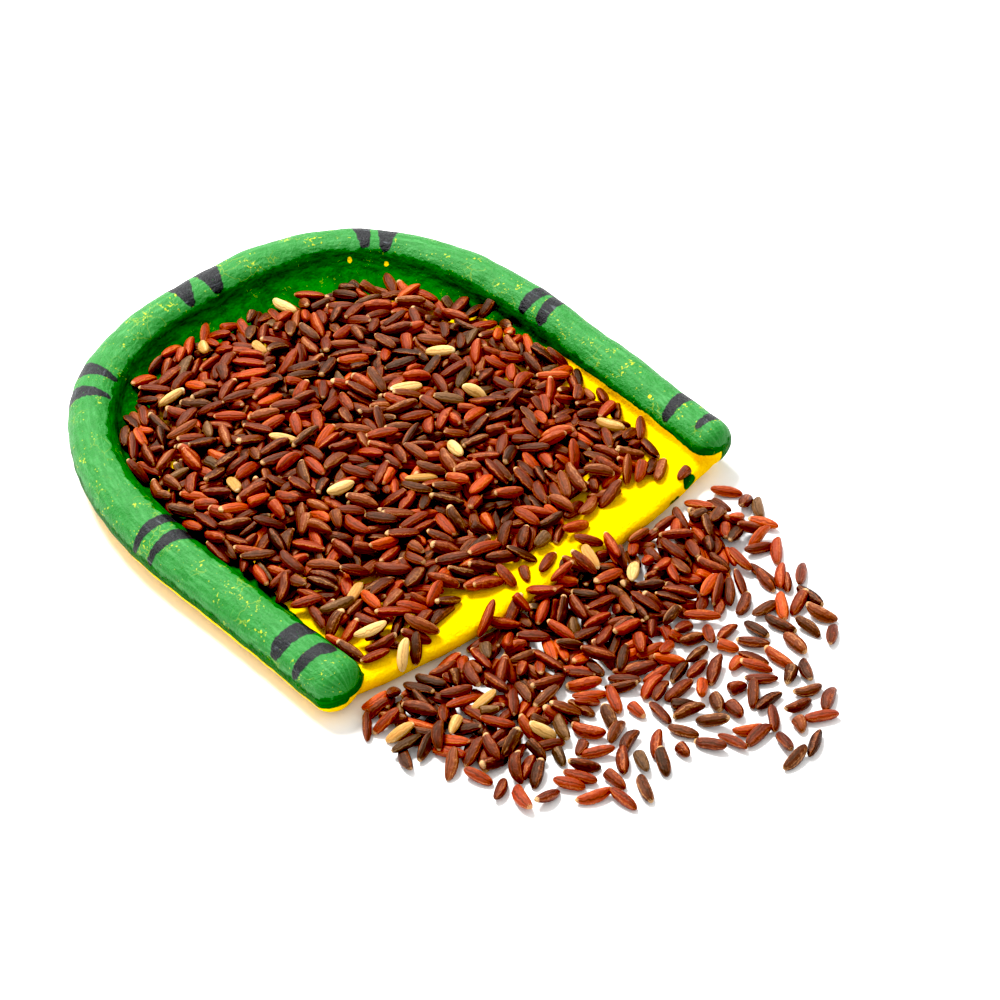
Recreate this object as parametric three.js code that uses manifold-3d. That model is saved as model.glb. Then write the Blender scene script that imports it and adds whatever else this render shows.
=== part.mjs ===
// A small hand-formed clay winnowing tray, painted green and yellow, with a heap of
// red rice that has run over its open lip and lies spilled in front of it.
//
// Millimetres, +Z up. The closed back of the tray points to +Y, its open lip to -Y and
// its longer, thicker rim side to -X. While the shapes are made, y = 0 is where the rim
// ends; at the end everything is moved so that the origin is the bottom centre.

import * as THREE from 'three';
import { mergeVertices } from 'three/addons/utils/BufferGeometryUtils.js';
import { ConvexHull } from 'three/addons/math/ConvexHull.js';
import Module from 'manifold-3d';

const wasm = await Module();
wasm.setup();

// ---------------------------------------------------------------- driving dimensions

const RIM = {
  leftReach: 46.9,      // from the tray's middle to the centre of the left roll
  rightReach: 46.7,     // the same for the right roll, at the end of its straight run
  rightPinch: 3.2,      // how far the right roll leans inwards by the time it ends
  straight: 41.8,       // length of the straight run of both sides
  length: 96.6,         // from the rim's ends to the centre of the back roll
  leftSquareness: 0.86, // 1 makes a quarter ellipse of the corner, less a squarer one
  rightSquareness: 0.65,
  radius: [4.9, 4.6, 4.4],        // of the roll at the left end, the back, the right end
  height: [5.3, 6.9, 6.5],        // of the roll's centre above the ground, likewise
  lump: 0.22,           // how far the pinched clay swells and sinks along the roll
};

const SLAB = {
  top: 4.8,             // height of the tray's floor
  overhang: 0.9,        // how far the slab reaches out past the centre of the roll
  lipStart: -1.6,       // where the lip meets the ends of the rim
  lipBulge: 3.9,        // how far the middle of the lip bows out
  corner: 3,            // radius of the two front corners in plan
  // rounded edge of the slab: height as a share of its top, and how far it is set in
  edge: [[0, 3.4], [0.14, 1.5], [0.36, 0.3], [0.62, 0], [0.85, 0.6], [1, 2.2]],
};

const GRAIN = {
  length: 6.2,
  width: 2.3,
  uneven: 0.08,         // how much longer or shorter than that a grain may be, as a share
  proud: 0.95,          // how far a grain's ridge stands over the core
  sunk: 0.5,            // how far its base lies in the core
  flare: 0.3,           // how much wider than the grain that hidden base is
  lengthShares: [1, 0.8], // whole grains first, then shorter ones in what is left
  spacing: 0.7,         // air that the spreading leaves round each grain in plan
  triesPerArea: 0.13,   // grains tried on each square millimetre, at each length
  lift: 0.2,            // how unevenly high the grains lie
  tilt: 0.1,            // how unevenly steep
  roll: 0.3,            // and how unevenly turned about their length, in radians
};

const CORE = {
  step: 13,             // net of the core's top
  below: 0.8,           // how far the core stays under the surface of the rice
  thinnest: 0.6,        // the least that it stands over what it lies on
};

const HEAP = {
  crown: 12.4,          // height of the rice in the middle of the tray
  wallFall: 3.6,        // how much lower the rice lies along the sides
  backFall: 5.3,        // and along the back
  backStarts: [41.8, 88.6],       // over which stretch the one turns into the other
  backRetreat: [0, 1.2, 3.4, 0],  // how far it stays off the rim: left, back left, back right, right
  wallReach: 9,         // over what distance it rises from the rim
  frontFall: 5.9,       // how much lower it lies at its free front edge
  frontReach: 12,
  edgeThickness: 1.7,   // a single layer of grains
  overhang: 2.2,        // how far a grain reaches out over the free edge
  touchesRim: [9, 39],  // how far back the rice first meets the left and the right roll
};

const SPILL = {
  ridge: 4.2,           // height that the pile adds where it leans on the lip
  shoulder: 0.5,        // the same away from that place
  ridgeCentre: 1,       // where along the lip that is highest
  ridgeWidth: 21,
  ridgeDepth: 13,       // how far from the lip the pile has thinned out
  edgeThickness: 1.7,
  edgeReach: 5,
};

const STRAYS = {
  count: 32,            // grains on the ground, each one lying against another or the spill
  tries: 60000,
  rooted: 0.12,         // share of those by the spill itself that stay, so that chains reach out
  height: 1.8,
  meets: 0.43,          // share of its length from the middle at which a grain touches another
  grip: 0.2,            // how far that place lies within the other
};

const EDGE = {
  step: 1.5,            // distance between two corners of the rice's free edge
  shake: 0.6,           // how far each corner lies in or out
};

const CLEARANCE = 0.3;  // air between pieces that touch
const FACET_SAG = 0.16; // how far the flat facets of a round surface stay off its true curve
const SEED = 20;

// ---------------------------------------------------------------- small helpers

function seededRandom(seed) {
  let state = seed >>> 0;
  return () => {
    state = (state + 0x6d2b79f5) >>> 0;
    let t = Math.imul(state ^ (state >>> 15), 1 | state);
    t = (t + Math.imul(t ^ (t >>> 7), 61 | t)) ^ t;
    return ((t ^ (t >>> 14)) >>> 0) / 4294967296;
  };
}

/** A value that runs smoothly through three, at the left end, the back and the right end. */
function alongRim([left, back, right], u) {
  const share = (1 - Math.cos(2 * Math.PI * u)) / 2;
  const end = u < 0.5 ? left : right;
  return end + (back - end) * share;
}

function buildGeometry(points, triangles) {
  const geometry = new THREE.BufferGeometry();
  const flat = new Float32Array(points.flatMap((p) => [p.x, p.y, p.z]));
  geometry.setAttribute('position', new THREE.BufferAttribute(flat, 3));
  geometry.setIndex(triangles.flat());
  return geometry;
}

function toSolid(geometry) {
  const bare = geometry.clone();
  bare.deleteAttribute('normal');
  bare.deleteAttribute('uv');
  const merged = mergeVertices(bare, 1e-4);
  const mesh = new wasm.Mesh({
    numProp: 3,
    vertProperties: new Float32Array(merged.attributes.position.array),
    triVerts: new Uint32Array(merged.index.array),
  });
  mesh.merge();
  return new wasm.Manifold(mesh);
}

function fromSolid(solid) {
  const { vertProperties, triVerts, numProp } = solid.getMesh();
  const geometry = new THREE.BufferGeometry();
  const count = vertProperties.length / numProp;
  const flat = new Float32Array(count * 3);
  for (let i = 0; i < count; i++) {
    for (let k = 0; k < 3; k++) flat[3 * i + k] = vertProperties[numProp * i + k];
  }
  geometry.setAttribute('position', new THREE.BufferAttribute(flat, 3));
  geometry.setIndex([...triVerts]);
  return geometry;
}

/** Joins rings of equal length, listed from bottom to top, into one closed skin. */
function skinRings(rings, capStart, capEnd) {
  const size = rings[0].length;
  const points = rings.flat();
  const triangles = [];
  for (let r = 0; r + 1 < rings.length; r++) {
    for (let i = 0; i < size; i++) {
      const a = r * size + i;
      const b = r * size + ((i + 1) % size);
      triangles.push([a, b, b + size], [a, b + size, a + size]);
    }
  }
  const last = (rings.length - 1) * size;
  for (const [a, b, c] of capStart) triangles.push([a, c, b]);
  for (const [a, b, c] of capEnd) triangles.push([last + a, last + b, last + c]);
  return buildGeometry(points, triangles);
}

/** Triangles over a small convex ring, wound the same way round as the ring itself. */
function fanCap(ring) {
  return ring.slice(2).map((_, i) => [0, i + 1, i + 2]);
}

/** Whether a point lies in an outline, by the crossings to its right. */
function inside(outline, x, y) {
  let odd = false;
  for (let i = 0, j = outline.length - 1; i < outline.length; j = i++) {
    const a = outline[i];
    const b = outline[j];
    if (a.y > y !== b.y > y && x < ((b.x - a.x) * (y - a.y)) / (b.y - a.y) + a.x) odd = !odd;
  }
  return odd;
}

/** Triangulates points in plan: the lower side of the hull of their lift to a paraboloid. */
function delaunay(points) {
  const far = 400; // corners well outside the plan, left out again below
  const corners = [[-far, -far], [far, -far], [far, far], [-far, far]];
  const all = points.concat(corners.map(([x, y]) => new THREE.Vector3(x, y, 0)));
  const lifted = all.map((p) => new THREE.Vector3(p.x, p.y, (p.x * p.x + p.y * p.y) / far));
  const index = new Map(lifted.map((p, i) => [p, i]));
  const triangles = [];
  for (const face of new ConvexHull().setFromPoints(lifted).faces) {
    if (face.normal.z >= 0) continue;
    const first = face.edge;
    const corner = [first, first.next, first.next.next].map((e) => index.get(e.head().point));
    if (Math.max(...corner) < points.length) triangles.push(corner.toReversed());
  }
  return triangles;
}

/** Triangles over the plan that an outline shuts in, counter-clockwise from above. */
function planCap(points, outline) {
  return delaunay(points).filter((corners) => {
    const x = corners.reduce((sum, i) => sum + points[i].x, 0) / 3;
    const y = corners.reduce((sum, i) => sum + points[i].y, 0) / 3;
    return inside(outline, x, y);
  });
}

// ---------------------------------------------------------------- the rim's path

/** Centre of the roll in plan: u = 0 at the left end, 0.5 at the back, 1 at the right end. */
class RimPath extends THREE.Curve {
  static cornerShare = 0.36; // share of the path that each rounded corner takes
  getPoint(u, target = new THREE.Vector3()) {
    const fromEnd = Math.min(u, 1 - u);
    const right = u > 0.5;
    const reach = right ? RIM.rightReach : RIM.leftReach;
    const squareness = right ? RIM.rightSquareness : RIM.leftSquareness;
    const straightShare = 0.5 - RimPath.cornerShare;
    let x;
    let y;
    if (fromEnd < straightShare) {
      const t = fromEnd / straightShare;
      x = reach - (right ? RIM.rightPinch * (1 - t) : 0);
      y = RIM.straight * t;
    } else {
      const angle = ((fromEnd - straightShare) / RimPath.cornerShare) * (Math.PI / 2);
      x = reach * Math.max(0, Math.cos(angle)) ** squareness;
      y = RIM.straight + (RIM.length - RIM.straight) * Math.sin(angle) ** squareness;
    }
    return target.set(right ? x : -x, y, 0);
  }
}

const rimPath = new RimPath();
rimPath.arcLengthDivisions = 800;

/** Place, directions and size of the roll at one point of its path, with its hand-made waves. */
function rimFrame(u) {
  const centre = rimPath.getPointAt(u);
  const ahead = rimPath.getPointAt(Math.min(1, u + 0.004));
  const behind = rimPath.getPointAt(Math.max(0, u - 0.004));
  const along = ahead.sub(behind).normalize();
  const outward = new THREE.Vector3(-along.y, along.x, 0);
  const wave = Math.sin(34 * u + 1.3) + 0.6 * Math.sin(71 * u + 0.4);
  const radius = alongRim(RIM.radius, u) + RIM.lump * wave * 0.6;
  const height = alongRim(RIM.height, u) + RIM.lump * Math.sin(23 * u + 2.1);
  return { centre, along, outward, radius, height };
}

// ---------------------------------------------------------------- the clay tray

/** The rolled rim: rings along its path, with a rounded blob at both ends. */
function rollGeometry(stations = 50, sides = 12) {
  const ring = (u, slide, scale) => {
    const { centre, along, outward, radius, height } = rimFrame(u);
    const points = [];
    for (let i = 0; i < sides; i++) {
      const angle = (2 * Math.PI * i) / sides;
      const point = centre.clone().addScaledVector(along, slide * radius);
      point.addScaledVector(outward, Math.cos(angle) * radius * scale);
      point.z = Math.max(0.05, height + Math.sin(angle) * radius * scale);
      points.push(point);
    }
    return points;
  };
  const rounded = [[0.62, 0.35], [0.52, 0.68], [0.28, 0.92]]; // how far out, how wide
  const rings = rounded.map(([out, wide]) => ring(0, -out, wide));
  for (let s = 0; s <= stations; s++) rings.push(ring(s / stations, 0, 1));
  rings.push(...rounded.toReversed().map(([out, wide]) => ring(1, out, wide)));
  return skinRings(rings, fanCap(rings[0]), fanCap(rings.at(-1)));
}

/** Front edge of the slab: straight where it meets the rim's ends, bowed out between them. */
function lipY(x) {
  const reach = (x < 0 ? RIM.leftReach : RIM.rightReach - RIM.rightPinch) - SLAB.corner;
  const share = Math.min(1, Math.abs(x) / reach);
  return SLAB.lipStart - SLAB.lipBulge * (1 - share ** 2.4);
}

/** Outline of the slab at one height, set in from its widest by the given distance. */
function slabRing(setIn, z, rimSteps = 46, lipSteps = 22, cornerSteps = 4) {
  const front = SLAB.lipStart + setIn + SLAB.corner;
  const ring = [];
  for (let s = 0; s <= rimSteps; s++) {
    const { centre, outward } = rimFrame(s / rimSteps);
    const point = centre.addScaledVector(outward, SLAB.overhang - setIn);
    const share = Math.min(1, point.y / RIM.straight);
    ring.push(new THREE.Vector3(point.x, point.y + front * (1 - share), z));
  }
  const right = ring.at(-1).x - SLAB.corner;
  const left = ring[0].x + SLAB.corner;
  const quarter = Math.PI / 2;
  const roundCorner = (x, from) => {
    for (let s = 1; s < cornerSteps; s++) {
      const angle = from - (quarter * s) / cornerSteps;
      const [dx, dy] = [SLAB.corner * Math.cos(angle), SLAB.corner * Math.sin(angle)];
      ring.push(new THREE.Vector3(x + dx, front + dy, z));
    }
  };
  roundCorner(right, 0);
  for (let s = 0; s <= lipSteps; s++) {
    const x = right + ((left - right) * s) / lipSteps;
    ring.push(new THREE.Vector3(x, lipY(x) + setIn, z));
  }
  roundCorner(left, -quarter);
  return ring.toReversed(); // counter-clockwise seen from above
}

/** The floor of the tray with its rounded edge. */
function slabGeometry() {
  const rings = SLAB.edge.map(([share, setIn]) => slabRing(setIn, share * SLAB.top));
  return skinRings(rings, planCap(rings[0], rings[0]), planCap(rings.at(-1), rings.at(-1)));
}

function trayGeometry() {
  return fromSolid(toSolid(slabGeometry()).add(toSolid(rollGeometry())));
}

// ---------------------------------------------------------------- grains of rice

/** Distance in plan from a point to a line of straight stretches. */
function distanceTo(line, x, y) {
  let best = Infinity;
  for (let i = 0; i + 1 < line.length; i++) {
    const a = line[i];
    const dx = line[i + 1].x - a.x;
    const dy = line[i + 1].y - a.y;
    const t = Math.max(0, Math.min(1, ((x - a.x) * dx + (y - a.y) * dy) / (dx * dx + dy * dy)));
    best = Math.min(best, Math.hypot(x - a.x - t * dx, y - a.y - t * dy));
  }
  return best;
}

/** The upper part of a grain lying along X: a ridge, pointed ends and a hidden flat base. */
function grainGeometry(length) {
  const half = length / 2;
  const side = GRAIN.width / 2 + GRAIN.flare;
  const ridge = [-0.5, 0.5].map((share) => new THREE.Vector3(share * half, 0, GRAIN.proud));
  const base = [[1.04, 0], [0.5, 1], [-0.5, 1], [-1.04, 0], [-0.5, -1], [0.5, -1]]
    .map(([s, t]) => new THREE.Vector3(s * half, t * side, -GRAIN.sunk));
  const triangles = [
    [1, 2, 3], [1, 3, 4], [1, 4, 0], [0, 4, 5], [0, 5, 6], [0, 6, 7], [0, 7, 1], [1, 7, 2],
    [2, 4, 3], [2, 5, 4], [2, 6, 5], [2, 7, 6],
  ];
  return buildGeometry([...ridge, ...base], triangles);
}

/** A grain's place in plan, with the points along its middle that others stay clear of. */
class GrainPlace {
  constructor(x, y, yaw, length) {
    Object.assign(this, { x, y, yaw, length });
    this.along = new THREE.Vector2(Math.cos(yaw), Math.sin(yaw));
    this.spine = [-0.42, -0.21, 0, 0.21, 0.42].map((share) => this.at(share));
    this.tips = [this.at(-0.5), this.at(0.5)];
  }

  at(share) {
    const s = share * this.length;
    return new THREE.Vector2(this.x + s * this.along.x, this.y + s * this.along.y);
  }

  /** Whether a point lies on the grain, or no more than the given distance beside it. */
  covers(point, spacing = GRAIN.spacing) {
    const dx = point.x - this.x;
    const dy = point.y - this.y;
    const s = (dx * this.along.x + dy * this.along.y) / (this.length / 2 + spacing);
    const t = (dy * this.along.x - dx * this.along.y) / (GRAIN.width / 2 + spacing);
    return s * s + t * t < 1;
  }

  /** Whether the middles of two grains lie beside each other, though their ends may touch. */
  besides(other) {
    return !other.spine.slice(1, -1).some((p) => this.covers(p))
      && !this.spine.slice(1, -1).some((p) => other.covers(p));
  }

  clearOf(other) {
    return !other.spine.some((p) => this.covers(p)) && !this.spine.some((p) => other.covers(p));
  }
}

function unevenLength(share, random) {
  return GRAIN.length * share * (1 + GRAIN.uneven * (2 * random() - 1));
}

/** Spreads grains over an area, whole ones first, then shorter ones in what is left. */
function spreadGrains(area, fits, random) {
  const size = area.getSize(new THREE.Vector2());
  const tries = Math.round(size.x * size.y * GRAIN.triesPerArea);
  const placed = [];
  for (const share of GRAIN.lengthShares) {
    for (let n = 0; n < tries; n++) {
      const x = area.min.x + size.x * random();
      const y = area.min.y + size.y * random();
      const length = unevenLength(share, random);
      const grain = new GrainPlace(x, y, Math.PI * random(), length);
      const near = placed.filter((p) => Math.hypot(p.x - x, p.y - y) < GRAIN.length + GRAIN.width);
      if (fits(grain) && near.every((other) => grain.clearOf(other))) placed.push(grain);
    }
  }
  return placed;
}

/** The solid of a grain that lies on the core with the slope found under its two ends. */
function laidGrain(grain, heightAt, lowest, random) {
  const [one, two] = grain.tips.map((p) => heightAt(p.x, p.y));
  const rise = (two - one) / grain.length + GRAIN.tilt * (random() - 0.5);
  const reach = Math.abs(rise) * grain.length * 0.5 + GRAIN.roll * GRAIN.width * 0.25;
  const middle = heightAt(grain.x, grain.y) - CORE.below + GRAIN.lift * (random() - 0.5);
  const z = Math.max(middle, lowest + GRAIN.sunk + reach);
  const roll = GRAIN.roll * (random() - 0.5);
  const turn = new THREE.Euler(roll, -Math.atan(rise), grain.yaw, 'ZYX');
  const geometry = grainGeometry(grain.length);
  geometry.applyMatrix4(new THREE.Matrix4().makeRotationFromEuler(turn));
  return toSolid(geometry.translate(grain.x, grain.y, z));
}

/** Interior points of a coarse three-way net over an outline, clear of its edge. */
function netPoints(outline, step) {
  const box = new THREE.Box2().setFromPoints(outline);
  const edge = outline.concat([outline[0]]);
  const rowStep = step * Math.sin(Math.PI / 3);
  const points = [];
  for (let row = 0; box.min.y + row * rowStep < box.max.y; row++) {
    for (let x = box.min.x + ((row % 2) * step) / 2; x < box.max.x; x += step) {
      const point = new THREE.Vector2(x, box.min.y + row * rowStep);
      const clear = distanceTo(edge, point.x, point.y) > step * 0.6;
      if (clear && inside(outline, point.x, point.y)) points.push(point);
    }
  }
  return points;
}

/** The bare core: flat underside, upright sides and a top that follows the heap. */
function coreSolid(outline, bottom, heightAt) {
  const plan = [...outline, ...netPoints(outline, CORE.step)];
  const sink = (p) => Math.max(bottom + CORE.thinnest, heightAt(p.x, p.y) - CORE.below);
  const top = plan.map((p) => new THREE.Vector3(p.x, p.y, sink(p)));
  const foot = outline.map((p) => new THREE.Vector3(p.x, p.y, bottom));
  const base = top.length;
  const triangles = planCap(top, outline);
  for (const [a, b, c] of planCap(foot, foot)) triangles.push([base + a, base + c, base + b]);
  for (let i = 0; i < outline.length; i++) {
    const next = (i + 1) % outline.length;
    triangles.push([i, base + i, base + next], [i, base + next, next]);
  }
  return toSolid(buildGeometry([...top, ...foot], triangles));
}

/** Grains that lie flat on bare ground, linked end to side with each other or with the rice. */
function strayPlaces(area, outline, random) {
  const box = new THREE.Box2().setFromPoints(area);
  const size = box.getSize(new THREE.Vector2());
  const placed = [];
  for (let n = 0; n < STRAYS.tries && placed.length < STRAYS.count; n++) {
    const x = box.min.x + size.x * random();
    const y = box.min.y + size.y * random();
    const grain = new GrainPlace(x, y, Math.PI * random(), unevenLength(1, random));
    if (!grain.tips.every((tip) => inside(area, tip.x, tip.y))) continue;
    if (grain.spine.slice(1, -1).some((p) => inside(outline, p.x, p.y))) continue;
    if (!placed.every((other) => grain.besides(other))) continue;
    const ends = [grain.at(-STRAYS.meets), grain.at(STRAYS.meets)];
    const linked = placed.some((other) => ends.some((end) => other.covers(end, -STRAYS.grip)));
    const rooted = ends.some((end) => inside(outline, end.x, end.y)) && random() < STRAYS.rooted;
    if (linked || rooted) placed.push(grain);
  }
  return placed;
}

/** The solid of a grain that lies flat on the ground. */
function strayGrain(grain) {
  const geometry = grainGeometry(grain.length).translate(0, 0, GRAIN.sunk);
  geometry.scale(1, 1, STRAYS.height / (GRAIN.proud + GRAIN.sunk)).rotateZ(grain.yaw);
  return toSolid(geometry.translate(grain.x, grain.y, 0));
}

/** The core with its grains fused on, without scraps that touch nothing. */
function riceGeometry({ outline, bottom, heightAt, fits, random, strays = [] }) {
  let solid = coreSolid(outline, bottom, heightAt);
  const area = new THREE.Box2().setFromPoints(outline).expandByScalar(1);
  for (const grain of spreadGrains(area, fits, random)) {
    solid = solid.add(laidGrain(grain, heightAt, bottom, random));
  }
  for (const grain of strays) solid = solid.add(strayGrain(grain));
  const bodies = solid.decompose().sort((one, two) => two.volume() - one.volume());
  return fromSolid(bodies[0]);
}

/** Walks a curve in short steps and shakes them sideways, as the grains lie unevenly. */
function raggedLine(corners, random) {
  const curve = new THREE.CatmullRomCurve3(corners.map(([x, y]) => new THREE.Vector3(x, y, 0)));
  const steps = Math.round(curve.getLength() / EDGE.step);
  const line = [];
  for (let s = 0; s <= steps; s++) {
    const u = s / steps;
    const along = curve.getTangentAt(u);
    const point = curve.getPointAt(u);
    const push = s % steps === 0 ? 0 : EDGE.shake * (random() - 0.5) * 2;
    line.push(new THREE.Vector2(point.x - along.y * push, point.y + along.x * push));
  }
  return line;
}

// ---------------------------------------------------------------- rice in the tray

const heapRandom = seededRandom(SEED);

// where the rice ends on the yellow floor, from the right rim round to the left one
const heapFront = [
  [41.3, 37.5], [39.4, 25], [37.4, 12.5], [34, 4.2], [27.4, 2.2], [18.2, 2.4], [9.5, 1.2],
  [2.5, 0.4], [-5, 1.6], [-11.3, -0.6], [-17, 1.6], [-22.5, -0.4], [-27, -2.4],
  [-33, -1.6], [-38.4, 1.4], [-41.4, 7],
];

/** How far the rice stays off the rim, between a quarter and three quarters of its path. */
function retreat(u) {
  const places = HEAP.backRetreat;
  const at = THREE.MathUtils.clamp((u - 0.25) / 0.5, 0, 1) * (places.length - 1);
  const from = Math.min(places.length - 2, Math.floor(at));
  const share = THREE.MathUtils.smoothstep(at - from, 0, 1);
  return THREE.MathUtils.lerp(places[from], places[from + 1], share);
}

function heapOutline() {
  const front = raggedLine(heapFront, heapRandom);
  const wall = [];
  const steps = 132;
  for (let s = 0; s <= steps; s++) {
    const u = s / steps;
    const { centre, outward, radius } = rimFrame(u);
    if (centre.y < HEAP.touchesRim[u < 0.5 ? 0 : 1]) continue;
    const off = radius + CLEARANCE + FACET_SAG + retreat(u);
    const point = centre.clone().addScaledVector(outward, -off);
    wall.push(new THREE.Vector2(point.x, point.y));
  }
  return { front, wall, outline: [...front, ...wall].toReversed() };
}

function heapGeometry() {
  const { front, wall, outline } = heapOutline();
  const heightAt = (x, y) => {
    const backShare = THREE.MathUtils.smoothstep(y, ...HEAP.backStarts);
    const fall = THREE.MathUtils.lerp(HEAP.wallFall, HEAP.backFall, backShare);
    const height = HEAP.crown - fall * Math.exp(-distanceTo(wall, x, y) / HEAP.wallReach)
      - HEAP.frontFall * Math.exp(-distanceTo(front, x, y) / HEAP.frontReach);
    return Math.max(height, SLAB.top + CLEARANCE + HEAP.edgeThickness);
  };
  const rim = wall.toReversed();
  const fits = (grain) => grain.tips.every((tip) => inside(outline, tip.x, tip.y)
      || distanceTo(front, tip.x, tip.y) < HEAP.overhang)
    && inside(outline, grain.x, grain.y)
    && grain.spine.every((p) => distanceTo(rim, p.x, p.y) > GRAIN.width * 0.55);
  const bottom = SLAB.top + CLEARANCE;
  return riceGeometry({ outline, bottom, heightAt, fits, random: heapRandom });
}

// ---------------------------------------------------------------- rice before the lip

const spillRandom = seededRandom(SEED + 1);

// the free edge of the spilled rice, from the left end of the lip round to the right
const spillEdge = [
  [-45, -4.6], [-47.6, -10], [-45.4, -17], [-43.8, -25], [-37.5, -30.6], [-31, -33.4],
  [-23, -31.4], [-16.5, -25.6], [-10, -26.4], [-4.5, -30.8], [3, -31.6], [11, -28.4],
  [17, -29.2], [24.4, -25.4], [30.6, -21.8], [36.6, -15.6], [37.6, -8], [35, -5.6],
];

// the ground that single grains reach in front of it, likewise
const strayEdge = [
  [-48.6, -12], [-47.4, -22], [-43.6, -34], [-38.6, -41], [-30, -43.6], [-22, -42.4],
  [-15, -45.4], [-7, -46.4], [1, -50.4], [8, -53.6], [16, -53.6], [23, -51], [29.4, -44],
  [34.6, -34], [39.6, -25.4], [42.4, -16], [41.4, -7.6],
];

function spillGeometry() {
  const edge = raggedLine(spillEdge, spillRandom);
  const back = [];
  const steps = 44;
  const [from, to] = [spillEdge.at(-1)[0] - EDGE.step, spillEdge[0][0] + EDGE.step];
  for (let s = 0; s <= steps; s++) {
    const x = from + ((to - from) * s) / steps;
    back.push(new THREE.Vector2(x, lipY(x) - CLEARANCE - FACET_SAG));
  }
  const heightAt = (x, y) => {
    const nearLip = Math.exp(-distanceTo(back, x, y) / SPILL.ridgeDepth);
    const nearEdge = 1 - Math.exp(-distanceTo(edge, x, y) / SPILL.edgeReach);
    const share = Math.exp(-(((x - SPILL.ridgeCentre) / SPILL.ridgeWidth) ** 2));
    return SPILL.edgeThickness + (SPILL.shoulder + SPILL.ridge * share) * nearLip * nearEdge;
  };
  const outline = [...edge, ...back];
  const fits = (grain) => inside(outline, grain.x, grain.y)
    && grain.tips.every((tip) => tip.y < lipY(tip.x) - CLEARANCE - GRAIN.flare)
    && grain.spine.every((p) => p.y < lipY(p.x) - CLEARANCE - GRAIN.width * 0.6);
  const area = [...strayEdge.map(([x, y]) => new THREE.Vector2(x, y)), ...back];
  const strays = strayPlaces(area, outline, seededRandom(SEED + 6));
  return riceGeometry({ outline, bottom: 0, heightAt, fits, random: spillRandom, strays });
}

// ---------------------------------------------------------------- the whole

const materials = {
  clay: { color: 0x4ead4a, roughness: 0.55, metalness: 0 },
  rice: { color: 0x5e2016, roughness: 0.5, metalness: 0 },
};

function piece(name, geometry, material) {
  geometry.computeVertexNormals();
  const mesh = new THREE.Mesh(geometry, new THREE.MeshStandardMaterial(material));
  mesh.name = name;
  return mesh;
}

const group = new THREE.Group();
group.add(piece('tray', trayGeometry(), materials.clay));
group.add(piece('rice_heap', heapGeometry(), materials.rice));
group.add(piece('rice_spill', spillGeometry(), materials.rice));

const box = new THREE.Box3().setFromObject(group);
const middle = box.getCenter(new THREE.Vector3());
for (const mesh of group.children) mesh.position.set(-middle.x, -middle.y, -box.min.z);

export default group;
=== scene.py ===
"""Looks of a small painted clay winnowing tray with red rice heaped in it and spilled from it.

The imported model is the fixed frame. The tray is made again with finer curves and hand-made
unevenness, and both heaps are made again from single grains that come to rest on one another.
Lengths are in millimetres until a mesh is written, and plan places are given in the tray's own
plan: y = 0 where the rim ends, x = 0 in the middle of the tray, the open lip towards -Y.
"""

import logging
import math
from dataclasses import dataclass, field
from enum import Enum
from typing import Sequence, Union

import bpy
import numpy as np
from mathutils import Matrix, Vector
from mathutils.bvhtree import BVHTree

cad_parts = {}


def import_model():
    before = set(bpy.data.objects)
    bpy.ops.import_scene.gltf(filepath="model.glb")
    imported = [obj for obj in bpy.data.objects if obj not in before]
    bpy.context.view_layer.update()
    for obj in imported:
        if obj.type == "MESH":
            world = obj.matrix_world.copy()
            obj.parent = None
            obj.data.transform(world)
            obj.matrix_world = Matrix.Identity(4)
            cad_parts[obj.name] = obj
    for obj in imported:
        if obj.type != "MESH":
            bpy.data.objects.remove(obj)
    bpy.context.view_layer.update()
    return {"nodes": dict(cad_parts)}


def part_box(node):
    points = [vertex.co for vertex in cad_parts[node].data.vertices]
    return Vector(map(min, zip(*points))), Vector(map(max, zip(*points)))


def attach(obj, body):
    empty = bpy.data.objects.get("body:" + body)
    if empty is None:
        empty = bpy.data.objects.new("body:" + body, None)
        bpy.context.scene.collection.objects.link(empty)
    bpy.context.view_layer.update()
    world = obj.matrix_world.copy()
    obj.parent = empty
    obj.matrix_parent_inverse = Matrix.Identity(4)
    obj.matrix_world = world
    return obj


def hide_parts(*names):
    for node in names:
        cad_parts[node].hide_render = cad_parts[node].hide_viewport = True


MM = 0.001
SEED = 11
LOG = logging.getLogger("rice_tray")

Colour = tuple[float, float, float, float]
Input = Union["Wire", float, tuple]
Table = tuple[tuple[float, ...], ...]


def paint(red: int, green: int, blue: int) -> Colour:
    """Turns a colour given as screen values into the linear values that shaders use.

    Args:
        red: Red from 0 to 255, as seen on a screen.
        green: Green likewise.
        blue: Blue likewise.

    Returns:
        The linear colour with full alpha.
    """
    shares = [channel / 255 for channel in (red, green, blue)]
    linear = [s / 12.92 if s <= 0.04045 else ((s + 0.055) / 1.055) ** 2.4 for s in shares]
    return (*linear, 1.0)


def smooth_step(value: np.ndarray, low: float, high: float) -> np.ndarray:
    """Rises smoothly from 0 at low to 1 at high."""
    share = np.clip((value - low) / (high - low), 0, 1)
    return share * share * (3 - 2 * share)


def look_up(table: Table, share: np.ndarray) -> np.ndarray:
    """Reads a table of shares and values, with straight lines between its rows."""
    return np.interp(share, *np.array(table).T)


# --------------------------------------------------------------------------- shader nodes


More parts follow.
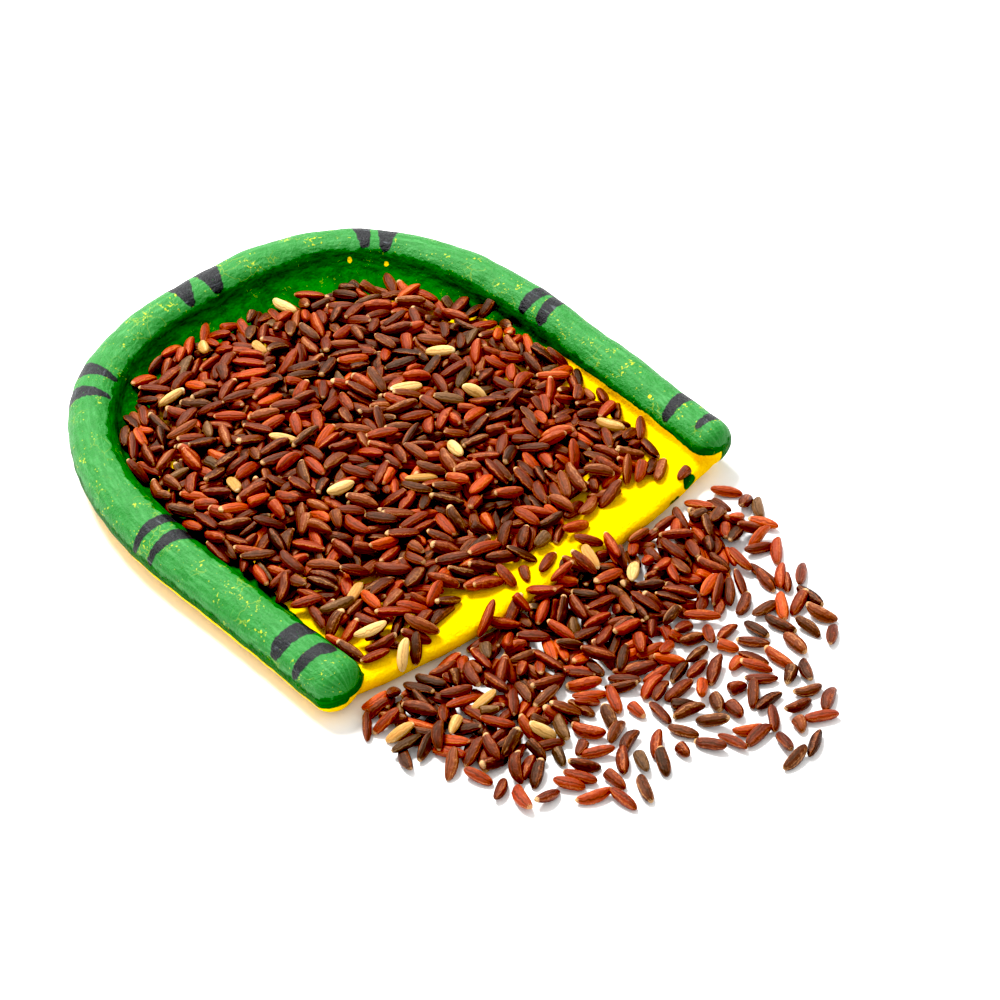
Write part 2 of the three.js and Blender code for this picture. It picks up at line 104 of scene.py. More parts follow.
@dataclass(frozen=True)
class Wire:
    """A value in a shader tree, which takes plain arithmetic."""

    desk: "NodeDesk"
    socket: bpy.types.NodeSocket

    def __add__(self, other: Input) -> "Wire":
        """Adds a value to it."""
        return self.desk.math("ADD", self, other)

    def __sub__(self, other: Input) -> "Wire":
        """Takes a value from it."""
        return self.desk.math("SUBTRACT", self, other)

    def __rsub__(self, other: Input) -> "Wire":
        """Takes it from a value."""
        return self.desk.math("SUBTRACT", other, self)

    def __mul__(self, other: Input) -> "Wire":
        """Multiplies it by a value."""
        return self.desk.math("MULTIPLY", self, other)

    __radd__ = __add__
    __rmul__ = __mul__


@dataclass
class NodeDesk:
    """Adds and links the nodes of one shader tree."""

    tree: bpy.types.NodeTree

    def add(self, kind: str, inputs: dict[str | int, Input],
            **settings: object) -> bpy.types.Node:
        """Adds a node.

        Args:
            kind: Blender's name of the node type.
            inputs: What goes into its sockets, by name or number.
            **settings: Properties to set on it.

        Returns:
            The new node.
        """
        node = self.tree.nodes.new(kind)
        for name, value in settings.items():
            setattr(node, name, value)
        for name, value in inputs.items():
            self.feed(node.inputs[name], value)
        return node

    def feed(self, socket: bpy.types.NodeSocket, value: Input) -> None:
        """Links a value to a socket, or sets the socket's own value."""
        if isinstance(value, Wire):
            self.tree.links.new(value.socket, socket)
        else:
            socket.default_value = value

    def put(self, kind: str, inputs: dict[str | int, Input], output: str | int = 0,
            **settings: object) -> Wire:
        """Adds a node as add() does, and gives one of its outputs."""
        return Wire(self, self.add(kind, inputs, **settings).outputs[output])

    def math(self, operation: str, *values: Input) -> Wire:
        """Combines values by one of Blender's math operations."""
        return self.put("ShaderNodeMath", dict(enumerate(values)), operation=operation)

    def blend(self, share: Input, first: Input, second: Input) -> Wire:
        """Mixes two colours; share 0 gives the first one and 1 the second."""
        return self.put("ShaderNodeMix", {0: share, 6: first, 7: second}, 2, data_type="RGBA")

    def rise(self, value: Input, low: Input, high: Input) -> Wire:
        """Rises smoothly from 0 at low to 1 at high."""
        return self.put("ShaderNodeMapRange",
                        {"Value": value, "From Min": low, "From Max": high}, "Result",
                        interpolation_type="SMOOTHSTEP")

    def noise(self, where: Input, scale: Input, detail: float = 2.0,
              roughness: float = 0.5) -> Wire:
        """Cloudy values round 0.5 at the given number of clouds per millimetre."""
        return self.put("ShaderNodeTexNoise", {"Vector": where, "Scale": scale,
                                               "Detail": detail, "Roughness": roughness}, "Fac")

    def held(self, name: str) -> Wire:
        """Reads a value that the mesh holds under a name."""
        return self.put("ShaderNodeAttribute", {}, "Fac", attribute_name=name)

    def place(self) -> Wire:
        """Gives the place on the object in millimetres."""
        place = self.put("ShaderNodeTexCoord", {}, "Object")
        return self.put("ShaderNodeVectorMath", {0: place, "Scale": 1 / MM}, operation="SCALE")

    def vector(self, x: Input, y: Input, z: Input = 0.0) -> Wire:
        """Makes a vector of three values."""
        return self.put("ShaderNodeCombineXYZ", {0: x, 1: y, 2: z})

    def group(self, tree: bpy.types.NodeTree, **inputs: Input) -> dict[str, Wire]:
        """Places an effect.

        Args:
            tree: The effect's node group.
            **inputs: Its inputs by name.

        Returns:
            Its outputs by name.
        """
        node = self.add("ShaderNodeGroup", {}, node_tree=tree)
        for name, value in inputs.items():
            self.feed(node.inputs[name], value)
        return {socket.name: Wire(self, socket) for socket in node.outputs}

    def bump(self, height: Input, distance: float, strength: float = 1.0) -> Wire:
        """Turns heights into a normal; distance is the depth of a height of 1, in millimetres."""
        return self.put("ShaderNodeBump", {"Strength": strength, "Distance": distance * MM,
                                           "Height": height})


FLOAT = "NodeSocketFloat"
VECTOR = "NodeSocketVector"


def new_effect(name: str, inputs: Sequence[str], outputs: Sequence[str]) -> tuple:
    """Starts an empty effect that reads a place and some values.

    Args:
        name: Name of the node group.
        inputs: Names of the values that go in beside the place.
        outputs: Names of the values that come out.

    Returns:
        The node group, a desk for its nodes, its inputs and the sockets of its outputs.
    """
    tree = bpy.data.node_groups.new(name, "ShaderNodeTree")
    tree.interface.new_socket("Place", in_out="INPUT", socket_type=VECTOR)
    for label in inputs:
        tree.interface.new_socket(label, in_out="INPUT", socket_type=FLOAT)
    for label in outputs:
        tree.interface.new_socket(label, in_out="OUTPUT", socket_type=FLOAT)
    desk = NodeDesk(tree)
    given = desk.add("NodeGroupInput", {}).outputs
    given = {socket.name: Wire(desk, socket) for socket in given}
    return tree, desk, given, desk.add("NodeGroupOutput", {}).inputs


class Effects:
    """The shader effects that the finishes share, each built once."""

    def __init__(self) -> None:
        """Builds every effect."""
        self.mottle = self._mottle()
        self.ragged = self._ragged()
        self.specks = self._specks()
        self.bran = self._bran()

    @staticmethod
    def _mottle() -> bpy.types.NodeTree:
        """Uneven cloudy tone, pulled apart to the full range from 0 to 1."""
        tree, desk, given, out = new_effect("mottle", ("Scale", "Contrast"), ("Tone",))
        cloud = desk.noise(given["Place"], given["Scale"], 4.0, 0.6)
        half = desk.math("DIVIDE", 0.5, given["Contrast"])
        desk.feed(out["Tone"], desk.rise(cloud, 0.5 - half, 0.5 + half))
        return tree

    @staticmethod
    def _ragged() -> bpy.types.NodeTree:
        """Mask of an area with a brushed, ragged edge, from a distance in millimetres."""
        tree, desk, given, out = new_effect(
            "ragged_edge", ("Inside", "Scale", "Raggedness", "Softness"), ("Mask",))
        cloud = desk.noise(given["Place"], given["Scale"], 3.0, 0.6) - 0.5
        moved = given["Inside"] + cloud * given["Raggedness"]
        soft = given["Softness"]
        desk.feed(out["Mask"], desk.rise(moved, soft * -0.5, soft * 0.5))
        return tree

    @staticmethod
    def _specks() -> bpy.types.NodeTree:
        """Sparse small specks that lie in loose crowds."""
        tree, desk, given, out = new_effect("specks", ("Scale", "Share"), ("Mask",))
        fine = desk.noise(given["Place"], given["Scale"], 2.0, 0.55)
        crowd = desk.noise(given["Place"], given["Scale"] * 0.18, 1.0)
        start = 1.15 - given["Share"]
        desk.feed(out["Mask"], desk.rise(fine + crowd * 0.6, start, start + 0.04))
        return tree

    @staticmethod
    def _bran() -> bpy.types.NodeTree:
        """Ridges, grooves, two worn tips and scratches of one grain; the ridge mask carries wear
        and painted highlight, the groove mask painted shade.
        """
        tree, desk, given, out = new_effect(
            "bran", ("Along", "Around", "Chip"),
            ("Height", "Ridge", "Groove", "Tip", "Scratch", "Cloud"))
        along, chip = given["Along"], given["Chip"]
        cloud = desk.noise(given["Place"], 1.1, 3.0, 0.6)
        grit = desk.noise(given["Place"], 7.0, 2.0, 0.6)
        turn = (given["Around"] + (cloud - 0.5) * 0.16) * (2 * math.pi)
        height = desk.math("COSINE", turn * 3.0) + desk.math("COSINE", turn * 11.0) * 0.35
        desk.feed(out["Height"], height + grit * 2.4)
        # Ridge: lighter crests, partly rubbed bran and partly painted highlight. Groove: darker
        # hollows, painted shade.
        worn = desk.rise(height + cloud, 0.95, 1.75)
        desk.feed(out["Ridge"], worn * desk.rise(grit, 0.38, 0.6))
        desk.feed(out["Groove"], desk.rise(height, -0.55, -1.2))
        reach = 1.26 - chip * 0.34
        germ = desk.rise(along + grit * 0.35, reach, reach + 0.08)
        reach = 1.03 + chip * 0.34
        stub = desk.rise(grit * 0.4 - along, reach, reach + 0.08)
        desk.feed(out["Tip"], desk.math("MAXIMUM", germ, stub * 0.7))
        streak = desk.vector(along * 1.2, turn * 2.2, chip * 90.0)
        desk.feed(out["Scratch"], desk.rise(desk.noise(streak, 1.6, 3.0, 0.65), 0.6, 0.72))
        desk.feed(out["Cloud"], cloud)
        return tree


def new_material(name: str) -> tuple[bpy.types.Material, NodeDesk, bpy.types.Node]:
    """Starts a material with a Principled shader.

    Args:
        name: Name of the material.

    Returns:
        The material, a desk for its nodes and its shader node.
    """
    material = bpy.data.materials.new(name)
    material.use_nodes = True
    material.node_tree.nodes.clear()
    desk = NodeDesk(material.node_tree)
    shader = desk.add("ShaderNodeBsdfPrincipled", {})
    desk.add("ShaderNodeOutputMaterial", {"Surface": Wire(desk, shader.outputs[0])})
    return material, desk, shader


# --------------------------------------------------------------------------- finishes


@dataclass(frozen=True)
class PaintedClay:
    """Hand-brushed paint on fired clay: green over the rim, yellow elsewhere, black strokes."""

    green: Colour = paint(38, 122, 46)
    pale_green: Colour = paint(82, 154, 86)
    deep_green: Colour = paint(22, 106, 28)
    # dark_green and darkest_green: dark paint on the inner wall, and painted shade where the rice
    # meets the wall and on the roll's lower side.
    dark_green: Colour = paint(2, 96, 4)
    darkest_green: Colour = paint(0, 66, 2)
    yellow: Colour = paint(250, 204, 8)
    deep_yellow: Colour = paint(240, 176, 6)
    fleck: Colour = paint(186, 190, 30)
    black: Colour = paint(26, 27, 29)
    worn_black: Colour = paint(76, 82, 86)

    def make(self, effects: Effects) -> bpy.types.Material:
        """Builds the material.

        Args:
            effects: The shared shader effects.

        Returns:
            The material, which reads what ClayTray writes on its mesh.
        """
        material, desk, shader = new_material("painted_clay")
        place = desk.place()

        def area(name: str, scale: float, raggedness: float, softness: float) -> Wire:
            """Mask of a painted area whose distances the mesh holds, with a brushed edge."""
            return desk.group(effects.ragged, Inside=desk.held(name), Place=place, Scale=scale,
                              Raggedness=raggedness, Softness=softness)["Mask"]

        brushed = desk.vector(desk.held("rim_along") * 0.22, desk.held("rim_around"))
        streak = desk.noise(brushed, 1.3, 4.0, 0.65)
        broad = desk.group(effects.mottle, Place=place, Scale=0.09, Contrast=2.6)["Tone"]
        fine = desk.group(effects.mottle, Place=place, Scale=1.6, Contrast=2.0)["Tone"]

        green = desk.blend(desk.rise(streak, 0.3, 0.7), self.deep_green, self.green)
        green = desk.blend(desk.rise(streak, 0.44, 0.74) * broad * 0.7, green, self.pale_green)
        green = desk.blend(fine * 0.16, green, self.pale_green)
        # Dark green: dark paint on the inner wall, and painted shade where the rice meets the
        # wall and on the lower side of the roll.
        dark = desk.blend(desk.rise(streak, 0.35, 0.62), self.darkest_green, self.dark_green)
        dark_paint_and_shade_mask = area("dark_paint_and_shade_inside", 0.55, 2.6, 0.7)
        green = desk.blend(dark_paint_and_shade_mask, green, dark)

        clear = 1.0 - dark_paint_and_shade_mask * 0.75
        flecks = desk.group(effects.specks, Place=place, Scale=1.7, Share=0.155)["Mask"]
        marks = desk.math("MAXIMUM", flecks, self._hairlines(desk, place)) * clear
        green = desk.blend(marks * 0.7, green, self.fleck)

        yellow = desk.blend(fine * 0.35, self.yellow, self.deep_yellow)
        colour = desk.blend(area("green_inside", 0.7, 0.7, 0.16), yellow, green)
        colour = desk.blend(area("bare_inside", 1.2, 0.5, 0.2), colour, self.yellow)

        black = desk.blend(desk.rise(streak, 0.55, 0.74), self.black, self.worn_black)
        dry = desk.rise(desk.noise(brushed, 3.2, 3.0, 0.7), 0.28, 0.36)
        stroke = area("stroke_inside", 0.9, 1.0, 0.22) * dry
        desk.feed(shader.inputs["Base Color"], desk.blend(stroke, colour, black))

        desk.feed(shader.inputs["Roughness"], 0.44 + fine * 0.14)
        desk.feed(shader.inputs["Specular IOR Level"], clear * 0.26)
        relief = streak * 0.5 + fine + stroke * 0.35 + desk.noise(place, 3.4, 3.0, 0.6) * 0.8
        desk.feed(shader.inputs["Normal"], desk.bump(relief, 0.16, 0.75))
        return material

    @staticmethod
    def _hairlines(desk: NodeDesk, place: Wire) -> Wire:
        """Mask of thin lines where the paint has cracked and the ground shows."""
        sway = desk.put("ShaderNodeTexNoise", {"Vector": place, "Scale": 0.4}, "Color")
        sway = desk.put("ShaderNodeVectorMath", {0: sway, "Scale": 3.0}, operation="SCALE")
        bent = desk.put("ShaderNodeVectorMath", {0: place, 1: sway}, operation="ADD")
        edge = desk.put("ShaderNodeTexVoronoi", {"Vector": bent, "Scale": 0.3}, "Distance",
                        feature="DISTANCE_TO_EDGE")
        where = desk.rise(desk.noise(place, 0.12, 1.0), 0.56, 0.64)
        return desk.rise(edge, 0.026, 0.006) * where * 0.4


@dataclass(frozen=True)
class Bran:
    """Skin of one kind of grain, matt with a dull sheen, worn at its tips, with ridges lightened
    by wear and painted highlight and hollows darkened by painted shade.
    """

    name: str
    dark: Colour
    light: Colour
    ridge: Colour
    groove: Colour
    tip: Colour = paint(214, 168, 116)
    sheen: Colour = (1.0, 0.76, 0.54, 1.0)
    roughness: float = 0.42
    glow: float = 0.0

    def make(self, effects: Effects) -> bpy.types.Material:
        """Builds the material.

        Args:
            effects: The shared shader effects.

        Returns:
            The material, which reads what RiceHeaps writes on its mesh.
        """
        material, desk, shader = new_material(self.name)
        chip = desk.held("chip")
        marks = desk.group(effects.bran, Along=desk.held("along"), Around=desk.held("around"),
                           Chip=chip, Place=desk.place())
        shade = desk.held("tone") + (marks["Cloud"] - 0.5) * 0.9
        colour = desk.blend(desk.rise(shade, 0.0, 1.0), self.dark, self.light)
        worn = marks["Scratch"] * desk.rise(chip, 0.35, 1.0)
        # Grooves take painted shade and ridges a lighter colour that is partly wear and partly
        # painted highlight; scratches and tips are wear.
        for share, over in ((marks["Groove"] * 0.62, self.groove),
                            (marks["Ridge"] * 0.6, self.ridge),
                            (worn * 0.5, self.ridge), (marks["Tip"] * 0.9, self.tip)):
            colour = desk.blend(share, colour, over)
        desk.feed(shader.inputs["Base Color"], colour)
        desk.feed(shader.inputs["Roughness"], self.roughness + marks["Groove"] * 0.15)
        shader.inputs["Specular IOR Level"].default_value = 0.4
        shader.inputs["Specular Tint"].default_value = self.sheen
        if self.glow:
            shader.inputs["Subsurface Weight"].default_value = self.glow
            shader.inputs["Subsurface Radius"].default_value = (1.0, 0.7, 0.4)
            shader.inputs["Subsurface Scale"].default_value = 0.8 * MM
        desk.feed(shader.inputs["Normal"], desk.bump(marks["Height"], 0.06, 0.8))
        return material


@dataclass(frozen=True)
class CloudyFinish:
    """A dull finish whose colour wanders between two tones."""

    name: str
    first: Colour
    second: Colour
    scale: float
    contrast: float
    roughness: float
    specular: float = 0.5
    relief: float = 0.0

    def make(self, effects: Effects) -> bpy.types.Material:
        """Builds the material from the shared effects."""
        material, desk, shader = new_material(self.name)
        tone = desk.group(effects.mottle, Place=desk.place(), Scale=self.scale,
                          Contrast=self.contrast)["Tone"]
        desk.feed(shader.inputs["Base Color"], desk.blend(tone, self.first, self.second))
        shader.inputs["Roughness"].default_value = self.roughness
        shader.inputs["Specular IOR Level"].default_value = self.specular
        if self.relief:
            desk.feed(shader.inputs["Normal"], desk.bump(tone, self.relief))
        return material


SHADED_RICE = CloudyFinish("shaded_rice", paint(26, 9, 8), paint(58, 22, 17), scale=0.8,
                           contrast=2.4, roughness=0.7, relief=0.5)
WHITE_PAPER = CloudyFinish("white_paper", (0.95, 0.95, 0.94, 1.0), (0.92, 0.92, 0.91, 1.0),
                           scale=0.5, contrast=1.6, roughness=0.8, specular=0.1)


# --------------------------------------------------------------------------- meshes


def write_mesh(name: str, points: np.ndarray, faces: Sequence[np.ndarray]) -> bpy.types.Object:
    """Makes a smooth-shaded object.

    Args:
        name: Name of the piece.
        points: Vertex places in millimetres, one row each.
        faces: Arrays of faces, each array with one width.

    Returns:
        The object, linked to the scene.
    """
    mesh = bpy.data.meshes.new(name)
    widths = np.concatenate([np.full(len(f), f.shape[1], np.int32) for f in faces])
    corners = np.concatenate([np.asarray(f, np.int32).ravel() for f in faces])
    mesh.vertices.add(len(points))
    mesh.vertices.foreach_set("co", (points * MM).astype(np.float32).ravel())
    mesh.loops.add(len(corners))
    mesh.loops.foreach_set("vertex_index", corners)
    mesh.polygons.add(len(widths))
    mesh.polygons.foreach_set("loop_start", np.r_[0, np.cumsum(widths)[:-1]].astype(np.int32))
    mesh.polygons.foreach_set("loop_total", widths)
    mesh.polygons.foreach_set("use_smooth", np.ones(len(widths), bool))
    mesh.update(calc_edges=True)
    mesh.validate()
    made = bpy.data.objects.new(name, mesh)
    bpy.context.scene.collection.objects.link(made)
    return made


def write_values(mesh: bpy.types.Mesh, name: str, values: np.ndarray,
                 domain: str = "POINT") -> None:
    """Keeps one value for each vertex or face corner on a mesh, under a name."""
    held = mesh.attributes.new(name, "FLOAT", domain)
    held.data.foreach_set("value", values.astype(np.float32).ravel())


def read_vectors(items: bpy.types.bpy_prop_collection, name: str) -> np.ndarray:
    """Gives one vector of each vertex, such as its place in metres, one row each."""
    flat = np.zeros(len(items) * 3, np.float32)
    items.foreach_get(name, flat)
    return flat.reshape(-1, 3)


def skin(rings: np.ndarray) -> tuple[np.ndarray, list[np.ndarray]]:
    """Joins rings of equal length into a closed skin with flat ends.

    Args:
        rings: Points by ring, by place in the ring, by axis.

    Returns:
        The points and the face arrays.
    """
    count, size, _ = rings.shape
    base = np.arange(count - 1)[:, None] * size
    here = np.arange(size)[None, :]
    after = (here + 1) % size
    quads = np.stack([base + here, base + after, base + size + after, base + size + here], -1)
    return rings.reshape(-1, 3), [quads.reshape(-1, 4), here[:, ::-1], (count - 1) * size + here]


# --------------------------------------------------------------------------- the clay tray


@dataclass
class Stations:
    """Places along the rim: centre, direction outwards, radius and height of the roll."""

    x: np.ndarray
    y: np.ndarray
    out_x: np.ndarray
    out_y: np.ndarray
    radius: np.ndarray
    height: np.ndarray


@dataclass
class RolledRim:
    """A thick roll of clay laid along a U, from the left tip round the back to the right tip."""

    left_reach: float = 46.9
    right_reach: float = 46.7
    right_pinch: float = 3.2
    straight: float = 41.8
    back: float = 96.6
    left_squareness: float = 0.86
    right_squareness: float = 0.65
    corner_share: float = 0.36
    radii: tuple[float, float, float] = (4.9, 4.6, 4.4)
    heights: tuple[float, float, float] = (5.3, 6.9, 6.5)
    lump: float = 0.22
    tip_bulge: float = 0.64
    samples: int = 2001
    path: np.ndarray = field(init=False)
    length: float = field(init=False)

    def __post_init__(self) -> None:
        """Samples the path at equal steps of its length."""
        share = np.linspace(0, 1, self.samples)
        from_end = np.minimum(share, 1 - share)
        right = share > 0.5
        straight_share = 0.5 - self.corner_share
        reach = np.where(right, self.right_reach, self.left_reach)
        square = np.where(right, self.right_squareness, self.left_squareness)
        run = np.clip(from_end / straight_share, 0, 1)
        angle = np.clip((from_end - straight_share) / self.corner_share, 0, 1) * math.pi / 2
        on_run = from_end < straight_share
        cosine = np.maximum(0, np.cos(angle))
        x = np.where(on_run, reach - np.where(right, self.right_pinch * (1 - run), 0),
                     reach * cosine ** square)
        y = np.where(on_run, self.straight * run,
                     self.straight + (self.back - self.straight) * np.sin(angle) ** square)
        x = np.where(right, x, -x)
        walked = np.r_[0, np.cumsum(np.hypot(np.diff(x), np.diff(y)))]
        even = share * walked[-1]
        self.length = float(walked[-1])
        self.path = np.stack([np.interp(even, walked, x), np.interp(even, walked, y)])

    def at(self, share: np.ndarray) -> Stations:
        """Gives the roll's centre line.

        Args:
            share: Shares of the path's length, from 0 at the left tip to 1 at the right tip.

        Returns:
            The stations, with the waves that hands left in the roll.
        """
        grid = np.linspace(0, 1, self.samples)
        x, y = (np.interp(share, grid, line) for line in self.path)
        ahead, behind = np.minimum(1, share + 0.004), np.maximum(0, share - 0.004)
        along = [np.interp(ahead, grid, line) - np.interp(behind, grid, line)
                 for line in self.path]
        size = np.hypot(*along)
        wave = np.sin(34 * share + 1.3) + 0.6 * np.sin(71 * share + 0.4)
        radius = self._vary(self.radii, share) + self.lump * 0.6 * wave
        height = self._vary(self.heights, share) + self.lump * np.sin(23 * share + 2.1)
        return Stations(x, y, -along[1] / size, along[0] / size, radius, height)

    @staticmethod
    def _vary(values: tuple[float, float, float], share: np.ndarray) -> np.ndarray:
        """Runs smoothly through the values at the left tip, the back and the right tip."""
        rise = (1 - np.cos(2 * math.pi * share)) / 2
        end = np.where(share < 0.5, values[0], values[2])
        return end + (values[1] - end) * rise

    def rings(self, stations: int, sides: int) -> np.ndarray:
        """Builds the roll's rings with a rounded blob at both ends.

        Args:
            stations: Number of rings along the path.
            sides: Number of points in a ring.

        Returns:
            The rings, as skin() takes them.
        """
        cap = np.linspace(0.97, 0.0, 9)[:-1]
        blob_out, blob_wide = self.tip_bulge * cap, np.sqrt(1 - cap ** 2)
        share = np.r_[np.zeros(len(cap)), np.linspace(0, 1, stations), np.ones(len(cap))]
        out = np.r_[-blob_out, np.zeros(stations), blob_out[::-1]]
        wide = np.r_[blob_wide, np.ones(stations), blob_wide[::-1]]
        at = self.at(share)
        turn = np.linspace(0, 2 * math.pi, sides, endpoint=False)
        across = at.radius[:, None] * wide[:, None] * np.cos(turn)
        slide = (out * at.radius)[:, None]
        x = at.x[:, None] + at.out_x[:, None] * across + at.out_y[:, None] * slide
        y = at.y[:, None] + at.out_y[:, None] * across - at.out_x[:, None] * slide
        z = at.height[:, None] + at.radius[:, None] * wide[:, None] * np.sin(turn)
        return np.stack([x, y, np.maximum(z, 0.05)], -1)


@dataclass(frozen=True)
class BrushStroke:
    """One black stroke across the rim: share of the path, turn in degrees, half width."""

    start: tuple[float, float, float]
    end: tuple[float, float, float]


STROKES = (
    BrushStroke((0.0215, 22, 0.9), (0.0165, 108, 1.6)),
    BrushStroke((0.0440, 38, 1.5), (0.0425, 112, 2.1)),
    BrushStroke((0.1762, 14, 0.6), (0.1712, 128, 1.65)),
    BrushStroke((0.1925, 12, 0.6), (0.1915, 140, 1.55)),
    BrushStroke((0.3513, 14, 2.3), (0.3478, 123, 0.8)),
    BrushStroke((0.3781, 14, 2.4), (0.3704, 128, 0.8)),
    BrushStroke((0.4885, 40, 2.9), (0.4828, 119, 1.3)),
    BrushStroke((0.5135, 44, 3.0), (0.5095, 122, 1.5)),
    BrushStroke((0.6395, 42, 1.9), (0.6444, 117, 1.2)),
    BrushStroke((0.6594, 40, 2.2), (0.6625, 118, 1.3)),
    BrushStroke((0.8025, 46, 1.6), (0.8015, 134, 1.25)),
    BrushStroke((0.8162, 50, 1.55), (0.8205, 136, 1.25)),
    BrushStroke((0.9600, 36, 1.7), (0.9650, 140, 1.0)),
    BrushStroke((0.9905, 50, 1.2), (0.9925, 112, 0.8)),
)
NOWHERE = -9.0


@dataclass
class ClayTray:
    """The tray: a floor slab with a bowed lip, closed on three sides by the rolled rim.

    Tables run along the rim: the share of its path, then a size, a height or a turn in degrees.
    """

    rim: RolledRim = field(default_factory=RolledRim)
    floor: float = 4.8
    overhang: float = 0.9
    lip_start: float = -1.6
    lip_bulge: float = 3.9
    corner: float = 3.0
    edge: Table = ((0, 3.4), (0.14, 1.5), (0.36, 0.3), (0.62, 0), (0.85, 0.6), (1, 2.2))
    voxel: float = 0.5
    fillet: Table = ((0, 0.4), (0.1, 1.4), (0.2, 2.2), (0.33, 3.4), (0.42, 5.2), (0.5, 6.4),
                     (0.6, 6.4), (0.7, 4.6), (0.78, 2.2), (0.84, 0.5), (1, 0.3))
    fillet_profile: Table = ((1.0, -0.4), (1.0, 0.02), (0.62, 0.09), (0.32, 0.24), (0.08, 0.46))
    knead: float = 0.085
    green_foot: Table = ((0, 3.6), (0.04, 4.0), (0.2, 4.3), (0.29, 2.4), (0.5, 1.6), (1, 2.7))
    green_over: float = 0.35
    inner_line: Table = ((0, 4.4), (0.81, 4.4), (0.85, 5.6), (0.9, 6.8), (0.95, 7.2), (1, 6.4))
    smear_ends: float = 0.84
    smear_under: float = 0.5
    green_spread: Table = ((0, 0.2), (0.06, 0.2), (0.15, 2.2), (0.68, 2.2), (0.76, 0.2),
                           (1, 0.2))
    # Where the dark green starts: on the inner wall it is dark paint and, where the rice meets
    # the wall, painted shade; under a set height on the roll's lower side it is painted shade.
    dark_starts: Table = ((0, 150), (0.03, 122), (0.2, 113), (0.28, 118), (0.34, 132),
                          (0.42, 143), (0.5, 147), (0.62, 136), (0.7, 142), (0.8, 150),
                          (0.87, 200), (0.9, 240))
    low_shade_rise: tuple[float, float] = (0.15, 0.35)
    dark_tip_start: float = 1.2
    bare_spots: Table = ((0.6312, 164, 0.55), (0.9431, 128, 0.4), (0.665, 170, 0.5))
    lip_dabs: Table = ((35.6, 3.3, 1.2), (31.2, 2.2, 0.7), (29.8, 2.5, 0.5))
    dab_depth: float = 1.5
    dab_stretch: float = 1.5
    stroke_squash: float = 0.75
    offset: np.ndarray = field(init=False)

    def lip(self, x: np.ndarray) -> np.ndarray:
        """Gives y of the lip's edge, bowed out between the two front corners, at each x."""
        right = self.rim.right_reach - self.rim.right_pinch
        reach = np.where(x < 0, self.rim.left_reach, right) - self.corner
        share = np.minimum(1, np.abs(x) / reach)
        return self.lip_start - self.lip_bulge * (1 - share ** 2.4)

    def _slab_ring(self, set_in: float, z: float) -> np.ndarray:
        """Builds the slab's outline at one height, set in from its widest."""
        at = self.rim.at(np.linspace(0, 1, 240))
        front = self.lip_start + set_in + self.corner
        x = at.x + at.out_x * (self.overhang - set_in)
        y = at.y + at.out_y * (self.overhang - set_in)
        y = y + front * (1 - np.minimum(1, y / self.rim.straight))
        right, left = x[-1] - self.corner, x[0] + self.corner
        angle = np.linspace(0, math.pi / 2, 8)[1:-1]
        lip_x = np.linspace(right, left, 80)
        parts_x = [x, right + self.corner * np.cos(angle), lip_x,
                   left - self.corner * np.sin(angle)]
        parts_y = [y, front - self.corner * np.sin(angle), self.lip(lip_x) + set_in,
                   front - self.corner * np.cos(angle)]
        x, y = np.concatenate(parts_x)[::-1], np.concatenate(parts_y)[::-1]
        return np.stack([x, y, np.full(len(x), z)], -1)

    def _foot(self, share: np.ndarray) -> tuple[np.ndarray, np.ndarray]:
        """Gives how far inwards the wall meets the floor, and how far the fillet runs on."""
        at = self.rim.at(share)
        meets = np.sqrt(np.maximum(0, at.radius ** 2 - (at.height - self.floor) ** 2))
        return meets, look_up(self.fillet, share)

    def _fillet_rings(self) -> np.ndarray:
        """Builds the clay that is smeared from the wall onto the floor."""
        share = np.linspace(0.01, 0.99, 220)
        at = self.rim.at(share)
        meets, reach = self._foot(share)
        inward = [meets + p * reach for p, _ in self.fillet_profile] + [meets - 2, meets - 2]
        rise = [self.floor + (q * reach if q > 0 else q) for _, q in self.fillet_profile]
        rise += [self.floor + 0.6 * reach, np.full(len(share), self.floor - 0.4)]
        inward, rise = np.stack(inward, 1), np.stack(np.broadcast_arrays(*rise), 1)
        x = at.x[:, None] - at.out_x[:, None] * inward
        y = at.y[:, None] - at.out_y[:, None] * inward
        return np.stack([x, y, rise], -1)

    def _shape(self) -> bpy.types.Mesh:
        """Joins the roll and the slab into one evenly meshed clay body, in tray plan."""
        slab = np.stack([self._slab_ring(float(look_up(self.edge, s)), s * self.floor)
                         for s in np.linspace(0, 1, 15)])
        points, faces = np.zeros((0, 3)), []
        for rings in (self.rim.rings(stations=300, sides=36), slab, self._fillet_rings()):
            more, skins = skin(rings)
            faces += [f + len(points) for f in skins]
            points = np.concatenate([points, more])
        rough = write_mesh("rough_clay", points, faces)
        remesh = rough.modifiers.new("even", "REMESH")
        remesh.mode = "VOXEL"
        remesh.voxel_size = self.voxel * MM
        melt = rough.modifiers.new("melt", "SMOOTH")
        melt.factor = 0.5
        melt.iterations = 6
        graph = bpy.context.evaluated_depsgraph_get()
        mesh = bpy.data.meshes.new_from_object(rough.evaluated_get(graph), depsgraph=graph)
        bpy.data.objects.remove(rough)
        return mesh

